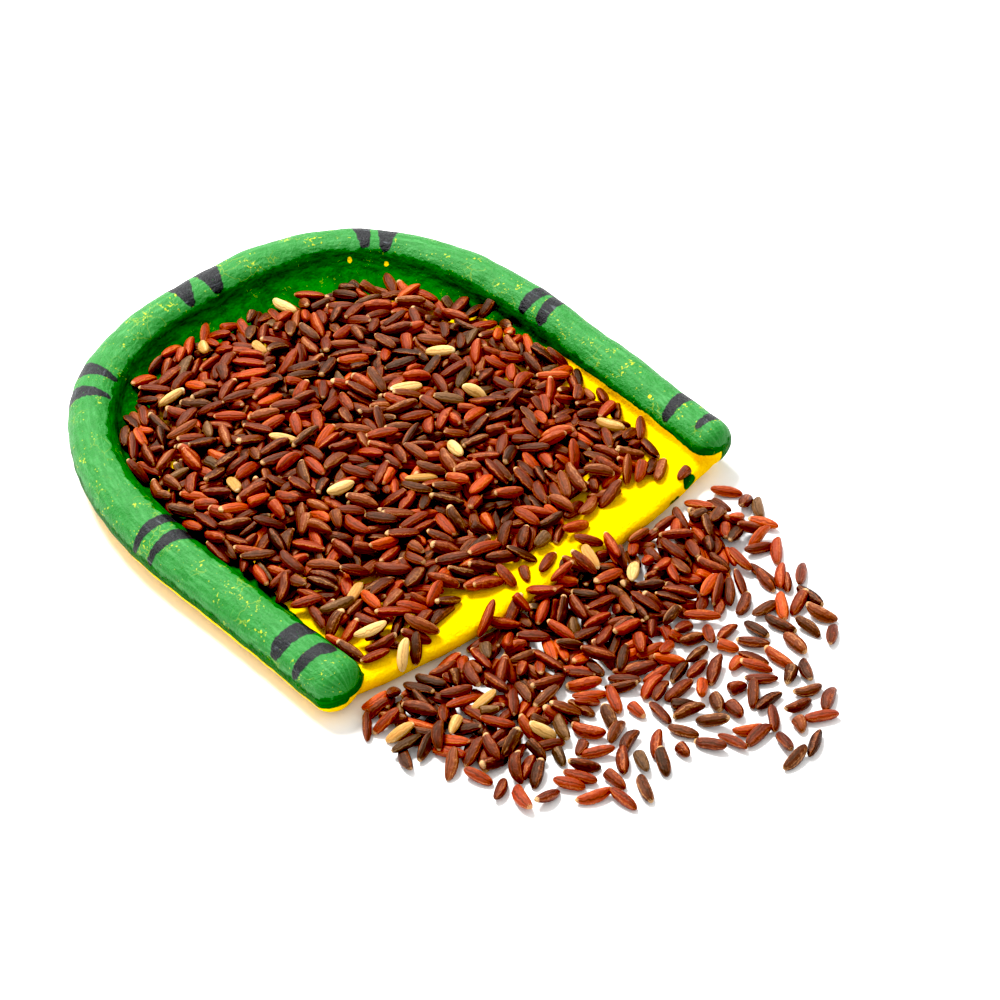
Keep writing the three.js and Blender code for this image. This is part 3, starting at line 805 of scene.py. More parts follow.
    def build(self, effects: Effects, box: tuple[Vector, Vector]) -> bpy.types.Object:
        """Builds and dresses the tray.

        Args:
            effects: The shared shader effects.
            box: Lowest and highest corner of the tray in the frame, in metres.

        Returns:
            The tray, standing where the frame has it.
        """
        mesh = self._shape()
        points = read_vectors(mesh.vertices, "co").astype(float) / MM
        low, high = np.array(box[0]) / MM, np.array(box[1]) / MM
        self.offset = np.array([
            (low[0] + high[0] - points[:, 0].min() - points[:, 0].max()) / 2,
            high[1] - points[:, 1].max(), 0.0])
        points = self._knead(mesh, points)
        self._mark(mesh, points)
        mesh.vertices.foreach_set("co", ((points + self.offset) * MM).astype(np.float32).ravel())
        mesh.update()
        mesh.name = "clay_tray"
        mesh.materials.append(PaintedClay().make(effects))
        mesh.polygons.foreach_set("use_smooth", np.ones(len(mesh.polygons), bool))
        tray = bpy.data.objects.new("clay_tray", mesh)
        bpy.context.scene.collection.objects.link(tray)
        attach(tray, "root")
        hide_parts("tray")
        LOG.info("clay_tray: %d faces", len(mesh.polygons))
        return tray

    def _knead(self, mesh: bpy.types.Mesh, points: np.ndarray) -> np.ndarray:
        """Moves the skin in and out a little, as fingers and a knife left it."""
        x, y, z = points.T
        swell = (np.sin(0.21 * x + 0.9) * np.sin(0.19 * y + 0.4)
                 + 0.7 * np.sin(0.47 * x - 0.31 * y)
                 + 0.5 * np.sin(0.83 * y + 0.62 * x + z)
                 + 0.35 * np.sin(1.37 * x + 0.4) * np.sin(1.21 * y))
        on_top = smooth_step(z, 0.6, 2.0)
        return points + read_vectors(mesh.vertices, "normal") * (
            swell * self.knead * on_top)[:, None]

    def _mark(self, mesh: bpy.types.Mesh, points: np.ndarray) -> None:
        """Writes on the mesh where each colour lies, as distances in millimetres."""
        share, out, beyond = self._nearest(points)
        at = self.rim.at(share)
        rise = points[:, 2] - at.height
        turn = np.arctan2(rise, out)
        turn = np.where(turn < -math.pi / 2, turn + 2 * math.pi, turn)
        here = np.stack([share * self.rim.length, turn * at.radius], -1)

        # Dark green on the inner wall (dark paint, partly painted shade by the rice) and painted
        # shade on the roll's lower side.
        dark = (turn - np.radians(look_up(self.dark_starts, share))) * at.radius
        low_shade = np.where(share < 0.5, *self.low_shade_rise) * at.radius - rise
        dark = np.maximum(dark, np.minimum(beyond + self.dark_tip_start, low_shade))

        stroke, bare = np.full((2, len(points)), NOWHERE)
        for item in STROKES:
            stroke = np.maximum(stroke, self._stroke(item, here, at.radius))
        for spot_share, spot_turn, size in self.bare_spots:
            spot = self._on_roll(spot_share, spot_turn, at.radius)
            bare = np.maximum(bare, size - np.linalg.norm(here - spot, axis=1))
        away = np.sqrt(out ** 2 + beyond ** 2 + rise ** 2)
        green = self._green(points, share, out, at.radius + self.green_over - away)
        for name, values in (("rim_along", here[:, 0]), ("rim_around", here[:, 1]),
                             ("green_inside", green), ("dark_paint_and_shade_inside", dark),
                             ("stroke_inside", stroke), ("bare_inside", bare)):
            write_values(mesh, name, values)

    def _green(self, points: np.ndarray, share: np.ndarray, out: np.ndarray,
               on_roll: np.ndarray) -> np.ndarray:
        """Gives how far inside the green each place lies.

        Args:
            points: Vertex places in tray plan.
            share: Where each lies along the rim.
            out: How far outwards of the rim's centre line.
            on_roll: How far inside the roll's own skin.

        Returns:
            The distances, in millimetres.
        """
        x, y, z = points.T
        green = np.minimum(on_roll, z - look_up(self.green_foot, share))
        meets, reach = self._foot(share)
        smeared = np.minimum(meets + reach + look_up(self.green_spread, share) + out,
                             z - self.floor + self.smear_under)
        inner = np.where(share < self.smear_ends, np.maximum(green, smeared), green)
        inner = np.minimum(inner, z - look_up(self.inner_line, share))
        green = np.where(out < 0, inner, green)
        front = y < self.lip_start + self.dab_depth
        for dab_x, dab_z, size in self.lip_dabs:
            dab = size - np.hypot((x - dab_x) / self.dab_stretch, z - dab_z)
            green = np.where(front, np.maximum(green, dab), green)
        return green

    def _nearest(self, points: np.ndarray) -> tuple[np.ndarray, np.ndarray, np.ndarray]:
        """Finds the nearest place on the rim's centre line.

        Args:
            points: Vertex places in tray plan.

        Returns:
            The share of the path, the distance outwards from it and the distance beyond a tip.
        """
        grid = np.linspace(0, 1, 601)
        at = self.rim.at(grid)
        best = np.empty(len(points), int)
        for start in range(0, len(points), 4000):
            part = points[start:start + 4000]
            gap = (part[:, :1] - at.x) ** 2 + (part[:, 1:2] - at.y) ** 2
            best[start:start + 4000] = gap.argmin(1)
        dx, dy = points[:, 0] - at.x[best], points[:, 1] - at.y[best]
        out = dx * at.out_x[best] + dy * at.out_y[best]
        ahead = dx * at.out_y[best] - dy * at.out_x[best]
        inner = (best > 0) & (best < len(grid) - 1)
        share = grid[best] + np.where(inner, ahead / self.rim.length, 0)
        return share, out, np.where(inner, 0, np.abs(ahead))

    def _on_roll(self, share: float, degrees: float, radius: np.ndarray) -> np.ndarray:
        """Gives how far along and around the roll a place lies, for each radius of the roll."""
        along = np.full(len(radius), share * self.rim.length)
        return np.stack([along, math.radians(degrees) * radius], -1)

    def _stroke(self, item: BrushStroke, here: np.ndarray, radius: np.ndarray) -> np.ndarray:
        """Gives how far inside a brush stroke each place on the roll lies."""
        first, last = (self._on_roll(*end[:2], radius) for end in (item.start, item.end))
        line = last - first
        t = np.clip(((here - first) * line).sum(1) / (line ** 2).sum(1), 0, 1)
        width = item.start[2] + (item.end[2] - item.start[2]) * t
        away = here - first - line * t[:, None]
        return width - np.hypot(away[:, 0], away[:, 1] * self.stroke_squash)


# --------------------------------------------------------------------------- grains of rice


@dataclass(frozen=True)
class KindOfGrain:
    """Skin of one kind of grain and its share of the rice."""

    skin: Bran
    share: float


class Kind(Enum):
    """The kinds of grain; each skin has its dark and light tones, a lighter ridge colour that is
    partly wear and partly painted highlight, and a darker colour for the hollows between ridges
    that is painted shade.
    """

    MAROON = KindOfGrain(Bran("maroon_bran", paint(42, 11, 8), paint(94, 26, 14),
                              paint(190, 106, 62), paint(14, 5, 5)), 0.33)
    RUSSET = KindOfGrain(Bran("russet_bran", paint(78, 21, 10), paint(140, 43, 18),
                              paint(216, 124, 68), paint(26, 8, 6)), 0.34)
    CHESTNUT = KindOfGrain(Bran("chestnut_bran", paint(62, 23, 12), paint(118, 50, 25),
                                paint(212, 148, 92), paint(24, 10, 7)), 0.20)
    ORANGE = KindOfGrain(Bran("orange_bran", paint(124, 36, 10), paint(174, 62, 20),
                              paint(228, 144, 76), paint(66, 17, 8)), 0.10)
    DUSKY = KindOfGrain(Bran("dusky_bran", paint(52, 30, 19), paint(100, 66, 40),
                             paint(168, 130, 90), paint(22, 12, 9)), 0.03)
    PALE = KindOfGrain(Bran("pale_bran", paint(184, 132, 66), paint(222, 180, 112),
                            paint(240, 212, 152), paint(150, 100, 50),
                            tip=paint(246, 226, 176), roughness=0.5, glow=0.2), 0.0)


@dataclass
class Grain:
    """A grain at rest: its centre, yaw, rise per millimetre along and across, and size."""

    x: float
    y: float
    z: float
    yaw: float
    lean_along: float
    lean_across: float
    length: float
    width: float
    thickness: float
    kind: Kind


@dataclass
class GrainForm:
    """Shape of a husked grain: soft ridges, a blunt tip and a slanting one."""

    rings: tuple[float, ...] = (-0.95, -0.8, -0.52, -0.18, 0.18, 0.52, 0.8, 0.95)
    sides: int = 16
    fullness: float = 2.3
    fullness_spread: float = 0.45
    ridge: float = 0.034
    boxiness: float = 0.16
    broken_share: float = 0.13
    broken_at: tuple[float, float] = (0.1, 0.6)
    broken_end: float = 0.84
    bow: float = 0.12
    slant: tuple[float, float] = (0.05, 0.22)
    slant_from: float = 0.45
    roll: float = 0.35

    def faces(self, count: int) -> tuple[list[np.ndarray], np.ndarray]:
        """Gives the faces of a number of grains and how they turn about each grain's length.

        Args:
            count: Number of grains, one after the other.

        Returns:
            The face arrays, and the turn at each face corner, from 0 to 1.
        """
        size, rows = self.sides, len(self.rings)
        here = np.arange(size)
        after = (here + 1) % size
        row = np.arange(rows - 1)[:, None] * size
        quads = np.stack([row + here, row + after, row + size + after, row + size + here], -1)
        first, last = np.full(size, rows * size), (rows - 1) * size
        tips = np.concatenate([np.stack([first, after, here], -1),
                               np.stack([first + 1, last + here, last + after], -1)])
        shift = (np.arange(count) * (rows * size + 2))[:, None, None]
        faces = [(quads.reshape(-1, 4) + shift).reshape(-1, 4), (tips + shift).reshape(-1, 3)]

        here = here / size
        after = here + 1 / size
        middle = (here + after) / 2
        quads = np.tile(np.stack([here, after, after, here], -1).ravel(), (rows - 1) * count)
        tips = np.stack([middle, after, here], -1), np.stack([middle, here, after], -1)
        return faces, np.concatenate([quads, np.tile(np.concatenate(tips).ravel(), count)])

    def points(self, grains: Sequence[Grain], rng: np.random.Generator) -> tuple:
        """Builds the points of many grains at once.

        Args:
            grains: The grains at rest.
            rng: Source of the small differences between them.

        Returns:
            The points by grain, and by grain and point how far along it each one lies.
        """
        count, size = len(grains), self.sides
        along = np.array([-1.0, *self.rings, 1.0])
        share = np.tile(along, (count, 1))
        broken = rng.random(count) < self.broken_share
        cut = np.where(broken, rng.uniform(*self.broken_at, count), 1.0)
        share = -1 + (share + 1) * (cut[:, None] + 1) / 2
        spread = self.fullness_spread
        power = self.fullness + rng.uniform(-spread, spread, count)[:, None]
        profile = np.maximum(0, 1 - np.abs(share) ** power) ** 0.5
        flat_end = np.array([1.0] * (len(along) - 2) + [self.broken_end, 0.0])
        profile = np.where(broken[:, None], profile * flat_end, profile)
        centre = np.where(broken, (1 - cut) / 2, 0)[:, None]
        turn = np.linspace(0, 2 * math.pi, size, endpoint=False)
        wobble = rng.uniform(-1, 1, (count, 1, 1))
        soft = 1 + self.boxiness * 0.5 * np.sin(2 * turn) ** 2
        section = soft + self.ridge * np.cos(4 * turn)
        section = section[None, None, :] * (1 + 0.05 * wobble * np.cos(turn * 3 + wobble * 9))
        length, width, thickness = (np.array([getattr(g, n) for g in grains])[:, None, None] / 2
                                    for n in ("length", "width", "thickness"))
        body = profile[:, 1:-1, None] * section / (1 + self.boxiness * 0.3)
        bow = rng.normal(0, self.bow, (count, 1, 1)) * width
        slant = rng.uniform(*self.slant, (count, 1, 1)) * width
        s = share[:, 1:-1, None] + 0 * body
        side = body * np.cos(turn) * width + bow * (1 - s ** 2) * 2
        side = side - slant * smooth_step(s, self.slant_from, 1.0) * 1.5
        local = np.zeros((count, len(self.rings) * size + 2, 3))
        for axis, values in enumerate(((s + centre[..., None]) * length, side,
                                       body * np.sin(turn) * thickness)):
            local[:, :-2, axis] = values.reshape(count, -1)
        for tip, end in ((-2, 0), (-1, -1)):
            local[:, tip, 0] = (share[:, end] + centre[:, 0]) * length[:, 0, 0]
        slanted = smooth_step(share[:, -1], self.slant_from, 1.0)
        local[:, -1, 1] = -slant[:, 0, 0] * 1.2 * slanted
        own = np.concatenate([np.repeat(share[:, 1:-1], size, 1), share[:, :1], share[:, -1:]], 1)
        laid = self._lay(local, grains, rng)
        laid[:, :, 2] += np.maximum(0, 0.02 - laid[:, :, 2].min(1))[:, None]
        return laid, own

    def _lay(self, local: np.ndarray, grains: Sequence[Grain],
             rng: np.random.Generator) -> np.ndarray:
        """Turns and moves each grain to where it came to rest."""
        yaw = np.array([g.yaw for g in grains])
        lean = np.array([[g.lean_along, g.lean_across] for g in grains])
        ahead = np.stack([np.cos(yaw), np.sin(yaw), lean[:, 0]], -1)
        ahead /= np.linalg.norm(ahead, axis=1, keepdims=True)
        across = np.stack([-np.sin(yaw), np.cos(yaw), lean[:, 1]], -1)
        across -= (across * ahead).sum(1, keepdims=True) * ahead
        across /= np.linalg.norm(across, axis=1, keepdims=True)
        up = np.cross(ahead, across)
        roll = rng.normal(0, self.roll, len(grains))[:, None]
        side = np.cos(roll) * across + np.sin(roll) * up
        top = np.cos(roll) * up - np.sin(roll) * across
        turn = np.stack([ahead, side, top], 1)
        centre = np.array([[g.x, g.y, g.z] for g in grains])
        return np.einsum("npi,nij->npj", local, turn) + centre[:, None, :]


# --------------------------------------------------------------------------- how they lie


def surface_heights(piece: bpy.types.Object, grid_x: np.ndarray,
                    grid_y: np.ndarray) -> np.ndarray:
    """Looks down on a mesh and notes its height over a grid.

    Args:
        piece: The object, whose mesh is in place.
        grid_x: Values of x in millimetres, one for each column.
        grid_y: Values of y, one for each row.

    Returns:
        Heights in millimetres by row and column, and not-a-number beside the mesh.
    """
    points = [v.co.copy() for v in piece.data.vertices]
    tree = BVHTree.FromPolygons(points, [tuple(p.vertices) for p in piece.data.polygons])
    down = Vector((0, 0, -1))
    heights = np.full((len(grid_y), len(grid_x)), np.nan)
    low, high = np.min(points, axis=0) / MM, np.max(points, axis=0) / MM
    for row in np.flatnonzero((grid_y > low[1]) & (grid_y < high[1])):
        for column in np.flatnonzero((grid_x > low[0]) & (grid_x < high[0])):
            start = Vector((grid_x[column] * MM, grid_y[row] * MM, 1.0))
            hit = tree.ray_cast(start, down)[0]
            if hit is not None:
                heights[row, column] = hit.z / MM
    return heights


def blurred(values: np.ndarray, reach: float) -> np.ndarray:
    """Smooths a grid with gaps, by a bell curve of the given width in cells."""
    known = ~np.isnan(values)
    filled = np.where(known, values, 0)
    weight = known.astype(float)
    taps = np.arange(-int(3 * reach), int(3 * reach) + 1)
    bell = np.exp(-0.5 * (taps / reach) ** 2)
    for axis in (0, 1):
        filled, weight = (
            sum(b * np.roll(grid, t, axis) for t, b in zip(taps, bell))
            for grid in (filled, weight))
    return np.where(known, filled / np.maximum(weight, 1e-9), np.nan)


def depth_inside(mask: np.ndarray, deepest: int) -> np.ndarray:
    """Counts how many cells deep each place lies inside a marked area.

    Args:
        mask: The marked cells.
        deepest: Where the count stops.

    Returns:
        The depth by cell, 0 outside.
    """
    depth = np.zeros(mask.shape)
    left = mask.copy()
    for step in range(deepest):
        depth += left
        inner = left[1:-1, 1:-1] & left[:-2, 1:-1] & left[2:, 1:-1]
        inner &= left[1:-1, :-2] & left[1:-1, 2:]
        if step % 2:
            inner &= left[:-2, :-2] & left[2:, 2:] & left[:-2, 2:] & left[2:, :-2]
        left = np.pad(inner, 1)
    return depth


@dataclass
class Seat:
    """How a grain would lie at one place, the cells it covers and how far it stands too high."""

    grain: Grain
    window: tuple[slice, slice]
    under: np.ndarray
    top: np.ndarray
    excess: float


@dataclass
class GrainBed:
    """Lets grains come to rest one by one on a grid of heights.

    Length and width of a grain are given as a mean and a spread.
    """

    low: tuple[float, float]
    high: tuple[float, float]
    rng: np.random.Generator
    cell: float = 0.25
    grain_reach: float = 4.2
    steepest: float = 0.75
    jumble: float = 0.22
    squeeze: tuple[float, float] = (0.2, 0.6)
    length: tuple[float, float] = (6.1, 0.42)
    shortest: float = 4.8
    width: tuple[float, float] = (2.28, 0.14)
    flatness: float = 0.83
    bluntness: float = 2.5
    least_inside: float = 0.4
    looks: int = 36
    tries: int = 5
    nudge: float = 0.5
    most_over_clear: float = 0.06
    patience: int = 200
    grains: list[Grain] = field(default_factory=list)
    x: np.ndarray = field(init=False)
    y: np.ndarray = field(init=False)
    heights: np.ndarray = field(init=False)
    wanted: np.ndarray = field(init=False)
    clear: np.ndarray = field(init=False)
    reach: int = field(init=False)
    dx: np.ndarray = field(init=False)
    dy: np.ndarray = field(init=False)

    def __post_init__(self) -> None:
        """Lays out the grid and the window that a grain covers."""
        self.x = np.arange(self.low[0], self.high[0], self.cell)
        self.y = np.arange(self.low[1], self.high[1], self.cell)
        self.heights = np.zeros((len(self.y), len(self.x)))
        self.wanted = np.full(self.heights.shape, np.nan)
        self.clear = np.zeros(self.heights.shape, bool)
        self.reach = int(self.grain_reach / self.cell)
        span = np.arange(-self.reach, self.reach + 1) * self.cell
        self.dx, self.dy = np.meshgrid(span, span)

    def cell_of(self, x: float, y: float) -> tuple[int, int]:
        """Gives the row and column of a place."""
        return (int(round((y - self.low[1]) / self.cell)),
                int(round((x - self.low[0]) / self.cell)))

    def pick_kind(self) -> Kind:
        """Picks a kind of grain by its share."""
        kinds = list(Kind)
        shares = np.array([k.value.share for k in kinds])
        return kinds[self.rng.choice(len(kinds), p=shares / shares.sum())]

    def new_size(self) -> tuple[float, float, float]:
        """Draws length, width and thickness of a grain."""
        length, width = (mean + spread * self.rng.standard_normal()
                         for mean, spread in (self.length, self.width))
        return max(length, self.shortest), width, width * self.flatness

    def seat(self, x: float, y: float, yaw: float, size: tuple[float, float, float],
             kind: Kind) -> Seat | None:
        """Finds how a grain comes to rest at a place.

        Args:
            x: Place of its centre.
            y: The same.
            yaw: Its direction in plan.
            size: Length, width and thickness.
            kind: Kind of grain.

        Returns:
            The seat, or None too near to the grid's border.
        """
        row, column = self.cell_of(x, y)
        near = self.reach
        if not (near <= row < len(self.y) - near and near <= column < len(self.x) - near):
            return None
        window = (slice(row - near, row + near + 1), slice(column - near, column + near + 1))
        cosine, sine = math.cos(yaw), math.sin(yaw)
        along = self.dx * cosine + self.dy * sine
        across = self.dy * cosine - self.dx * sine
        off = np.abs(along / (size[0] / 2)) ** self.bluntness + (across / (size[1] / 2)) ** 2
        under = off < 1
        s, t, ground = along[under], across[under], self.heights[window][under]
        level = ground - ground.mean()
        jumble = self.jumble * self.rng.standard_normal(2)
        lean_s, lean_t = (
            float(np.clip((way * level).sum() / (way * way).sum() + more,
                          -self.steepest, self.steepest))
            for way, more in zip((s, t), jumble))
        arch = size[2] / 2 * np.sqrt(1 - off[under])
        plane = s * lean_s + t * lean_t
        z = float((ground - plane + arch).max()) - self.rng.uniform(*self.squeeze)
        grain = Grain(self.x[column], self.y[row], z, yaw, lean_s, lean_t, *size, kind)
        top = z + plane + arch
        room = top - self.wanted[window][under]
        inside = ~np.isnan(room)
        excess = float(room[inside].mean()) if inside.mean() > self.least_inside else math.nan
        return Seat(grain, window, under, top, excess)

    def lay(self, seat: Seat, keep_clear: bool = False) -> None:
        """Leaves a grain in its seat, where later grains rest on it or keep clear of it."""
        window = self.heights[seat.window]
        window[seat.under] = np.maximum(window[seat.under], seat.top)
        if keep_clear:
            self.clear[seat.window][seat.under] = True
        self.grains.append(seat.grain)

    def fill(self, places: np.ndarray, room: float) -> int:
        """Drops grains into the lowest places until the heap stands as high as wanted.

        Args:
            places: Rows of x and y where a grain's centre may lie.
            room: How far a grain may stand over the wanted height.

        Returns:
            How many grains were laid.
        """
        laid = misses = 0
        while misses < self.patience:
            best = self._best_seat(places[self.rng.integers(len(places), size=self.looks)])
            if best is None or best.excess > room:
                misses += 1
                continue
            misses = 0
            self.lay(best)
            laid += 1
        return laid

    def _best_seat(self, places: np.ndarray) -> Seat | None:
        """Tries a new grain at the lowest of some places and gives its lowest seat."""
        cells = [self.cell_of(x, y) for x, y in places]
        gaps = np.array([self.wanted[c] - self.heights[c] for c in cells])
        kind = self.pick_kind()
        size = self.new_size()
        best = None
        for index in np.argsort(-gaps)[:self.tries]:
            for yaw in self.rng.uniform(0, math.pi, 2):
                x, y = places[index] + self.rng.uniform(-self.nudge, self.nudge, 2)
                seat = self.seat(x, y, yaw, size, kind)
                if seat is None or np.isnan(seat.excess):
                    continue
                if self.clear[seat.window][seat.under].mean() > self.most_over_clear:
                    continue
                if best is None or seat.excess < best.excess:
                    best = seat
        return best


@dataclass
class RiceHeaps:
    """All the rice: the heap in the tray and what has run over the lip.

    Single grains are listed with x and y in tray plan and their direction in degrees.
    """

    tray: ClayTray
    rng: np.random.Generator
    form: GrainForm = field(default_factory=GrainForm)
    bed_low: tuple[float, float] = (-62.0, -70.0)
    bed_high: tuple[float, float] = (62.0, 104.0)
    look_step: float = 0.5
    blur: float = 1.4
    core_depth: float = 4.2
    core_foot: float = 0.15
    core_least: float = 0.8
    core_from_lip: float = 1.0
    core_sinks: float = 0.3
    core_step: int = 6
    drop_step: int = 4
    settle: float = 1.0
    proud: float = 0.35
    fuller: float = 0.3
    edge_height: float = 1.3
    flat_edge: float = 0.75
    shoulder: float = 5.0
    shoulder_height: float = 3.9
    bulge: float = 0.6
    least_room: float = 1.1
    back_gap: float = 3.4
    back_gap_x: tuple[float, float] = (-14, 18)
    back_gap_y: tuple[float, float] = (48, 62)
    back_drop: float = 0.7
    floor_within: float = 1.2
    wall_reach: float = 7.5
    wall_fill: float = 5.0
    wall_fill_from: tuple[float, float] = (-20, 3)
    wall_fill_rise: float = 0.9
    list_tries: int = 14
    list_slip: float = 0.5
    list_turn: float = 0.12
    fringe_count: int = 62
    fringe_tries: int = 12000
    fringe_thins: float = 5.0
    fringe_width: float = 9.0
    fringe_flat: float = 0.1
    crowd_share: float = 0.6
    crowd_gap: float = 4.6
    pale_places: Table = (
        (13.2, 83.5, 101), (-7.6, 82.2, 67), (-1.6, 74.5, 73), (-22.3, 75.2, 1),
        (-15.8, 49.6, 142), (-30.6, 47.5, 57), (-16.7, 33.4, 173), (22.7, 51.0, 121),
        (10.6, 46.5, 145), (18.5, 37.1, 149), (32.9, 15.0, 114), (5.7, 27.6, 80),
        (-4.5, 24.6, 159), (-30.8, 13.5, 35), (-34.4, 5.5, 137), (-34.6, -0.6, 45),
        (6.2, -5.2, 80), (10.8, -12.4, 28), (-29.7, -18.7, 176), (-44.4, -12.5, 151),
        (-37.5, -19.5, 17), (-27.1, -28.6, 130))
    single_places: Table = (
        (-3.9, -1.6, 62), (0.2, -1.2, 13), (-8.7, 0.8, 95), (-0.2, -6.2, 5), (-16.0, -4.3, 22),
        (3.2, -6.6, 100), (-10.0, -6.3, 100), (34.3, -0.8, 0), (9.6, -3.9, 150),
        (-5.2, -5.8, 102), (12.4, -7.0, 78))
    fringe_reach: Table = (
        (-48, -5), (-47, -21), (-43, -31), (-40.5, -38), (-35, -42), (-29, -51), (-20.5, -57),
        (-13, -59), (-4, -62), (7, -61.5), (17, -61), (22, -56), (27, -58), (29, -47),
        (33, -35), (40, -23), (42, -13), (40, -5))

    def build(self, effects: Effects, nodes: dict[str, bpy.types.Object],
              tray_piece: bpy.types.Object) -> None:
        """Lays all the grains and makes the pieces.

        Args:
            effects: The shared shader effects.
            nodes: The frame's solids by name.
            tray_piece: The clay tray that the rice lies in.
        """
        bed = self._bed(nodes, tray_piece)
        core = bed.wanted - self.core_depth
        foot = self.tray.floor + self.core_foot
        behind_lip = bed.y[:, None] > self._lip(bed.x)[None, :] + self.core_from_lip
        core = np.where(behind_lip & (core > foot + self.core_least), core, np.nan)
        bed.heights = np.fmax(bed.heights, core)
        step = self.drop_step
        places = np.argwhere(~np.isnan(bed.wanted[::step, ::step])) * step
        places = np.stack([bed.x[places[:, 1]], bed.y[places[:, 0]]], -1)
        count = bed.fill(places, -self.settle)
        self._lay_list(bed, self.pale_places, Kind.PALE)
        count += bed.fill(places, self.proud)
        self._lay_list(bed, self.single_places, Kind.RUSSET)
        self._fringe(bed)
        LOG.info("rice: %d grains in the heaps, %d in all", count, len(bed.grains))
        materials = {kind: kind.value.skin.make(effects) for kind in Kind}
        for name, node, behind in (("heap", "rice_heap", True), ("spill", "rice_spill", False)):
            for kind in Kind:
                here = [g for g in bed.grains if g.kind is kind
                        and (g.y > float(self._lip(np.array(g.x)))) == behind]
                self._make(f"{name}_{kind.name.lower()}_grains", node, here, materials[kind])
        self._make_core(bed, core, foot, effects)

    def _lip(self, x: np.ndarray) -> np.ndarray:
        """Gives y of the lip's edge at each x, both in the frame."""
        return self.tray.lip(x - self.tray.offset[0]) + self.tray.offset[1]

    def _bed(self, nodes: dict[str, bpy.types.Object],
             tray_piece: bpy.types.Object) -> GrainBed:
        """Prepares the grid: what the grains rest on and how high they are to stand."""
        shift = self.tray.offset[:2]
        bed = GrainBed(tuple(self.bed_low + shift), tuple(self.bed_high + shift), self.rng)
        coarse = int(self.look_step / bed.cell)
        look_x, look_y = bed.x[::coarse], bed.y[::coarse]

        def spread(grid: np.ndarray) -> np.ndarray:
            """Brings a coarse grid to the bed's own step."""
            full = np.repeat(np.repeat(grid, coarse, 0), coarse, 1)
            return full[:len(bed.y), :len(bed.x)]

        bed.heights = np.nan_to_num(spread(surface_heights(tray_piece, look_x, look_y)))
        for name in ("rice_heap", "rice_spill"):
            top = surface_heights(nodes[name], look_x, look_y)
            bed.wanted = np.fmax(bed.wanted, spread(blurred(top, self.blur / self.look_step)))
        plan_x, plan_y = bed.x[None, :] - shift[0], bed.y[:, None] - shift[1]
        behind = bed.y[:, None] > self._lip(bed.x)[None, :]
        inside = depth_inside(~np.isnan(bed.wanted), int(self.shoulder / bed.cell)) * bed.cell
        back = self.back_gap * smooth_step(plan_x, *self.back_gap_x)
        back = back * smooth_step(plan_y, *self.back_gap_y)
        bed.wanted[inside <= back] = np.nan
        bed.wanted -= self.back_drop / self.back_gap * back
        inside = np.maximum(0, inside - back)
        share = np.clip(inside - self.flat_edge, 0, None) / (self.shoulder - self.flat_edge)
        ledge = self.edge_height + (self.shoulder_height - self.edge_height) * share ** self.bulge
        bed.wanted = np.maximum(bed.wanted + self.fuller,
                                np.where(behind, self.tray.floor, 0) + ledge)
        self._fill_to_wall(bed, behind, plan_x, plan_y)
        bed.wanted[bed.heights > bed.wanted - self.least_room] = np.nan
        return bed

    def _fill_to_wall(self, bed: GrainBed, behind: np.ndarray, plan_x: np.ndarray,
                      plan_y: np.ndarray) -> None:
        """Lets the rice reach the wall on the left and at the back, over the bare floor.

        Args:
            bed: The grid.
            behind: The cells behind the lip.
            plan_x: Each column's x in tray plan.
            plan_y: Each row's y in tray plan.
        """
        low = np.abs(bed.heights - self.tray.floor) < self.floor_within
        reach = int(self.wall_reach / bed.cell)
        by_wall = depth_inside(low, reach) < reach
        gap = depth_inside(np.isnan(bed.wanted), int(self.wall_fill / bed.cell) + 2) * bed.cell
        near = low & by_wall & behind & (gap > 0) & (gap < self.wall_fill)
        near &= (plan_x < self.wall_fill_from[0]) & (plan_y > self.wall_fill_from[1])
        bed.wanted[near] = self.tray.floor + self.edge_height + self.wall_fill_rise

    def _lay_list(self, bed: GrainBed, places: Table, kind: Kind) -> None:
        """Lays grains at given places, each where it sits lowest within a small reach."""
        for x, y, degrees in places:
            best = None
            for _ in range(self.list_tries):
                size = bed.new_size()
                px, py = (x, y) + self.tray.offset[:2] + bed.rng.normal(0, self.list_slip, 2)
                yaw = math.radians(degrees) + bed.rng.normal(0, self.list_turn)
                seat = bed.seat(px, py, yaw, size, kind)
                if seat and (best is None or seat.grain.z < best.grain.z):
                    best = seat
            if best:
                bed.lay(best, keep_clear=True)

    def _fringe(self, bed: GrainBed) -> None:
        """Scatters single grains and small groups round the free edge of the spill."""
        edge = np.array(self.fringe_reach) + self.tray.offset[:2]
        low, high = edge.min(0), edge.max(0)
        deepest = int(self.fringe_width / bed.cell) + 4
        away = depth_inside(np.isnan(bed.wanted), deepest) * bed.cell
        strays: list[Grain] = []
        for _ in range(self.fringe_tries):
            if len(strays) == self.fringe_count:
                break
            x, y = bed.rng.uniform(low, high)
            if strays and bed.rng.random() < self.crowd_share:
                near = strays[bed.rng.integers(len(strays))]
                turn = bed.rng.uniform(0, 2 * math.pi)
                x = near.x + self.crowd_gap * math.cos(turn)
                y = near.y + self.crowd_gap * math.sin(turn)
            if not self._inside(edge, x, y):
                continue
            off = away[bed.cell_of(x, y)]
            if off > self.fringe_width or bed.rng.random() > math.exp(-off / self.fringe_thins):
                continue
            kind = bed.pick_kind()
            seat = bed.seat(x, y, bed.rng.uniform(0, math.pi), bed.new_size(), kind)
            if seat is None or seat.grain.z > seat.grain.thickness * 0.5 + self.fringe_flat:
                continue
            bed.lay(seat)
            strays.append(seat.grain)
        LOG.info("fringe: %d grains", len(strays))

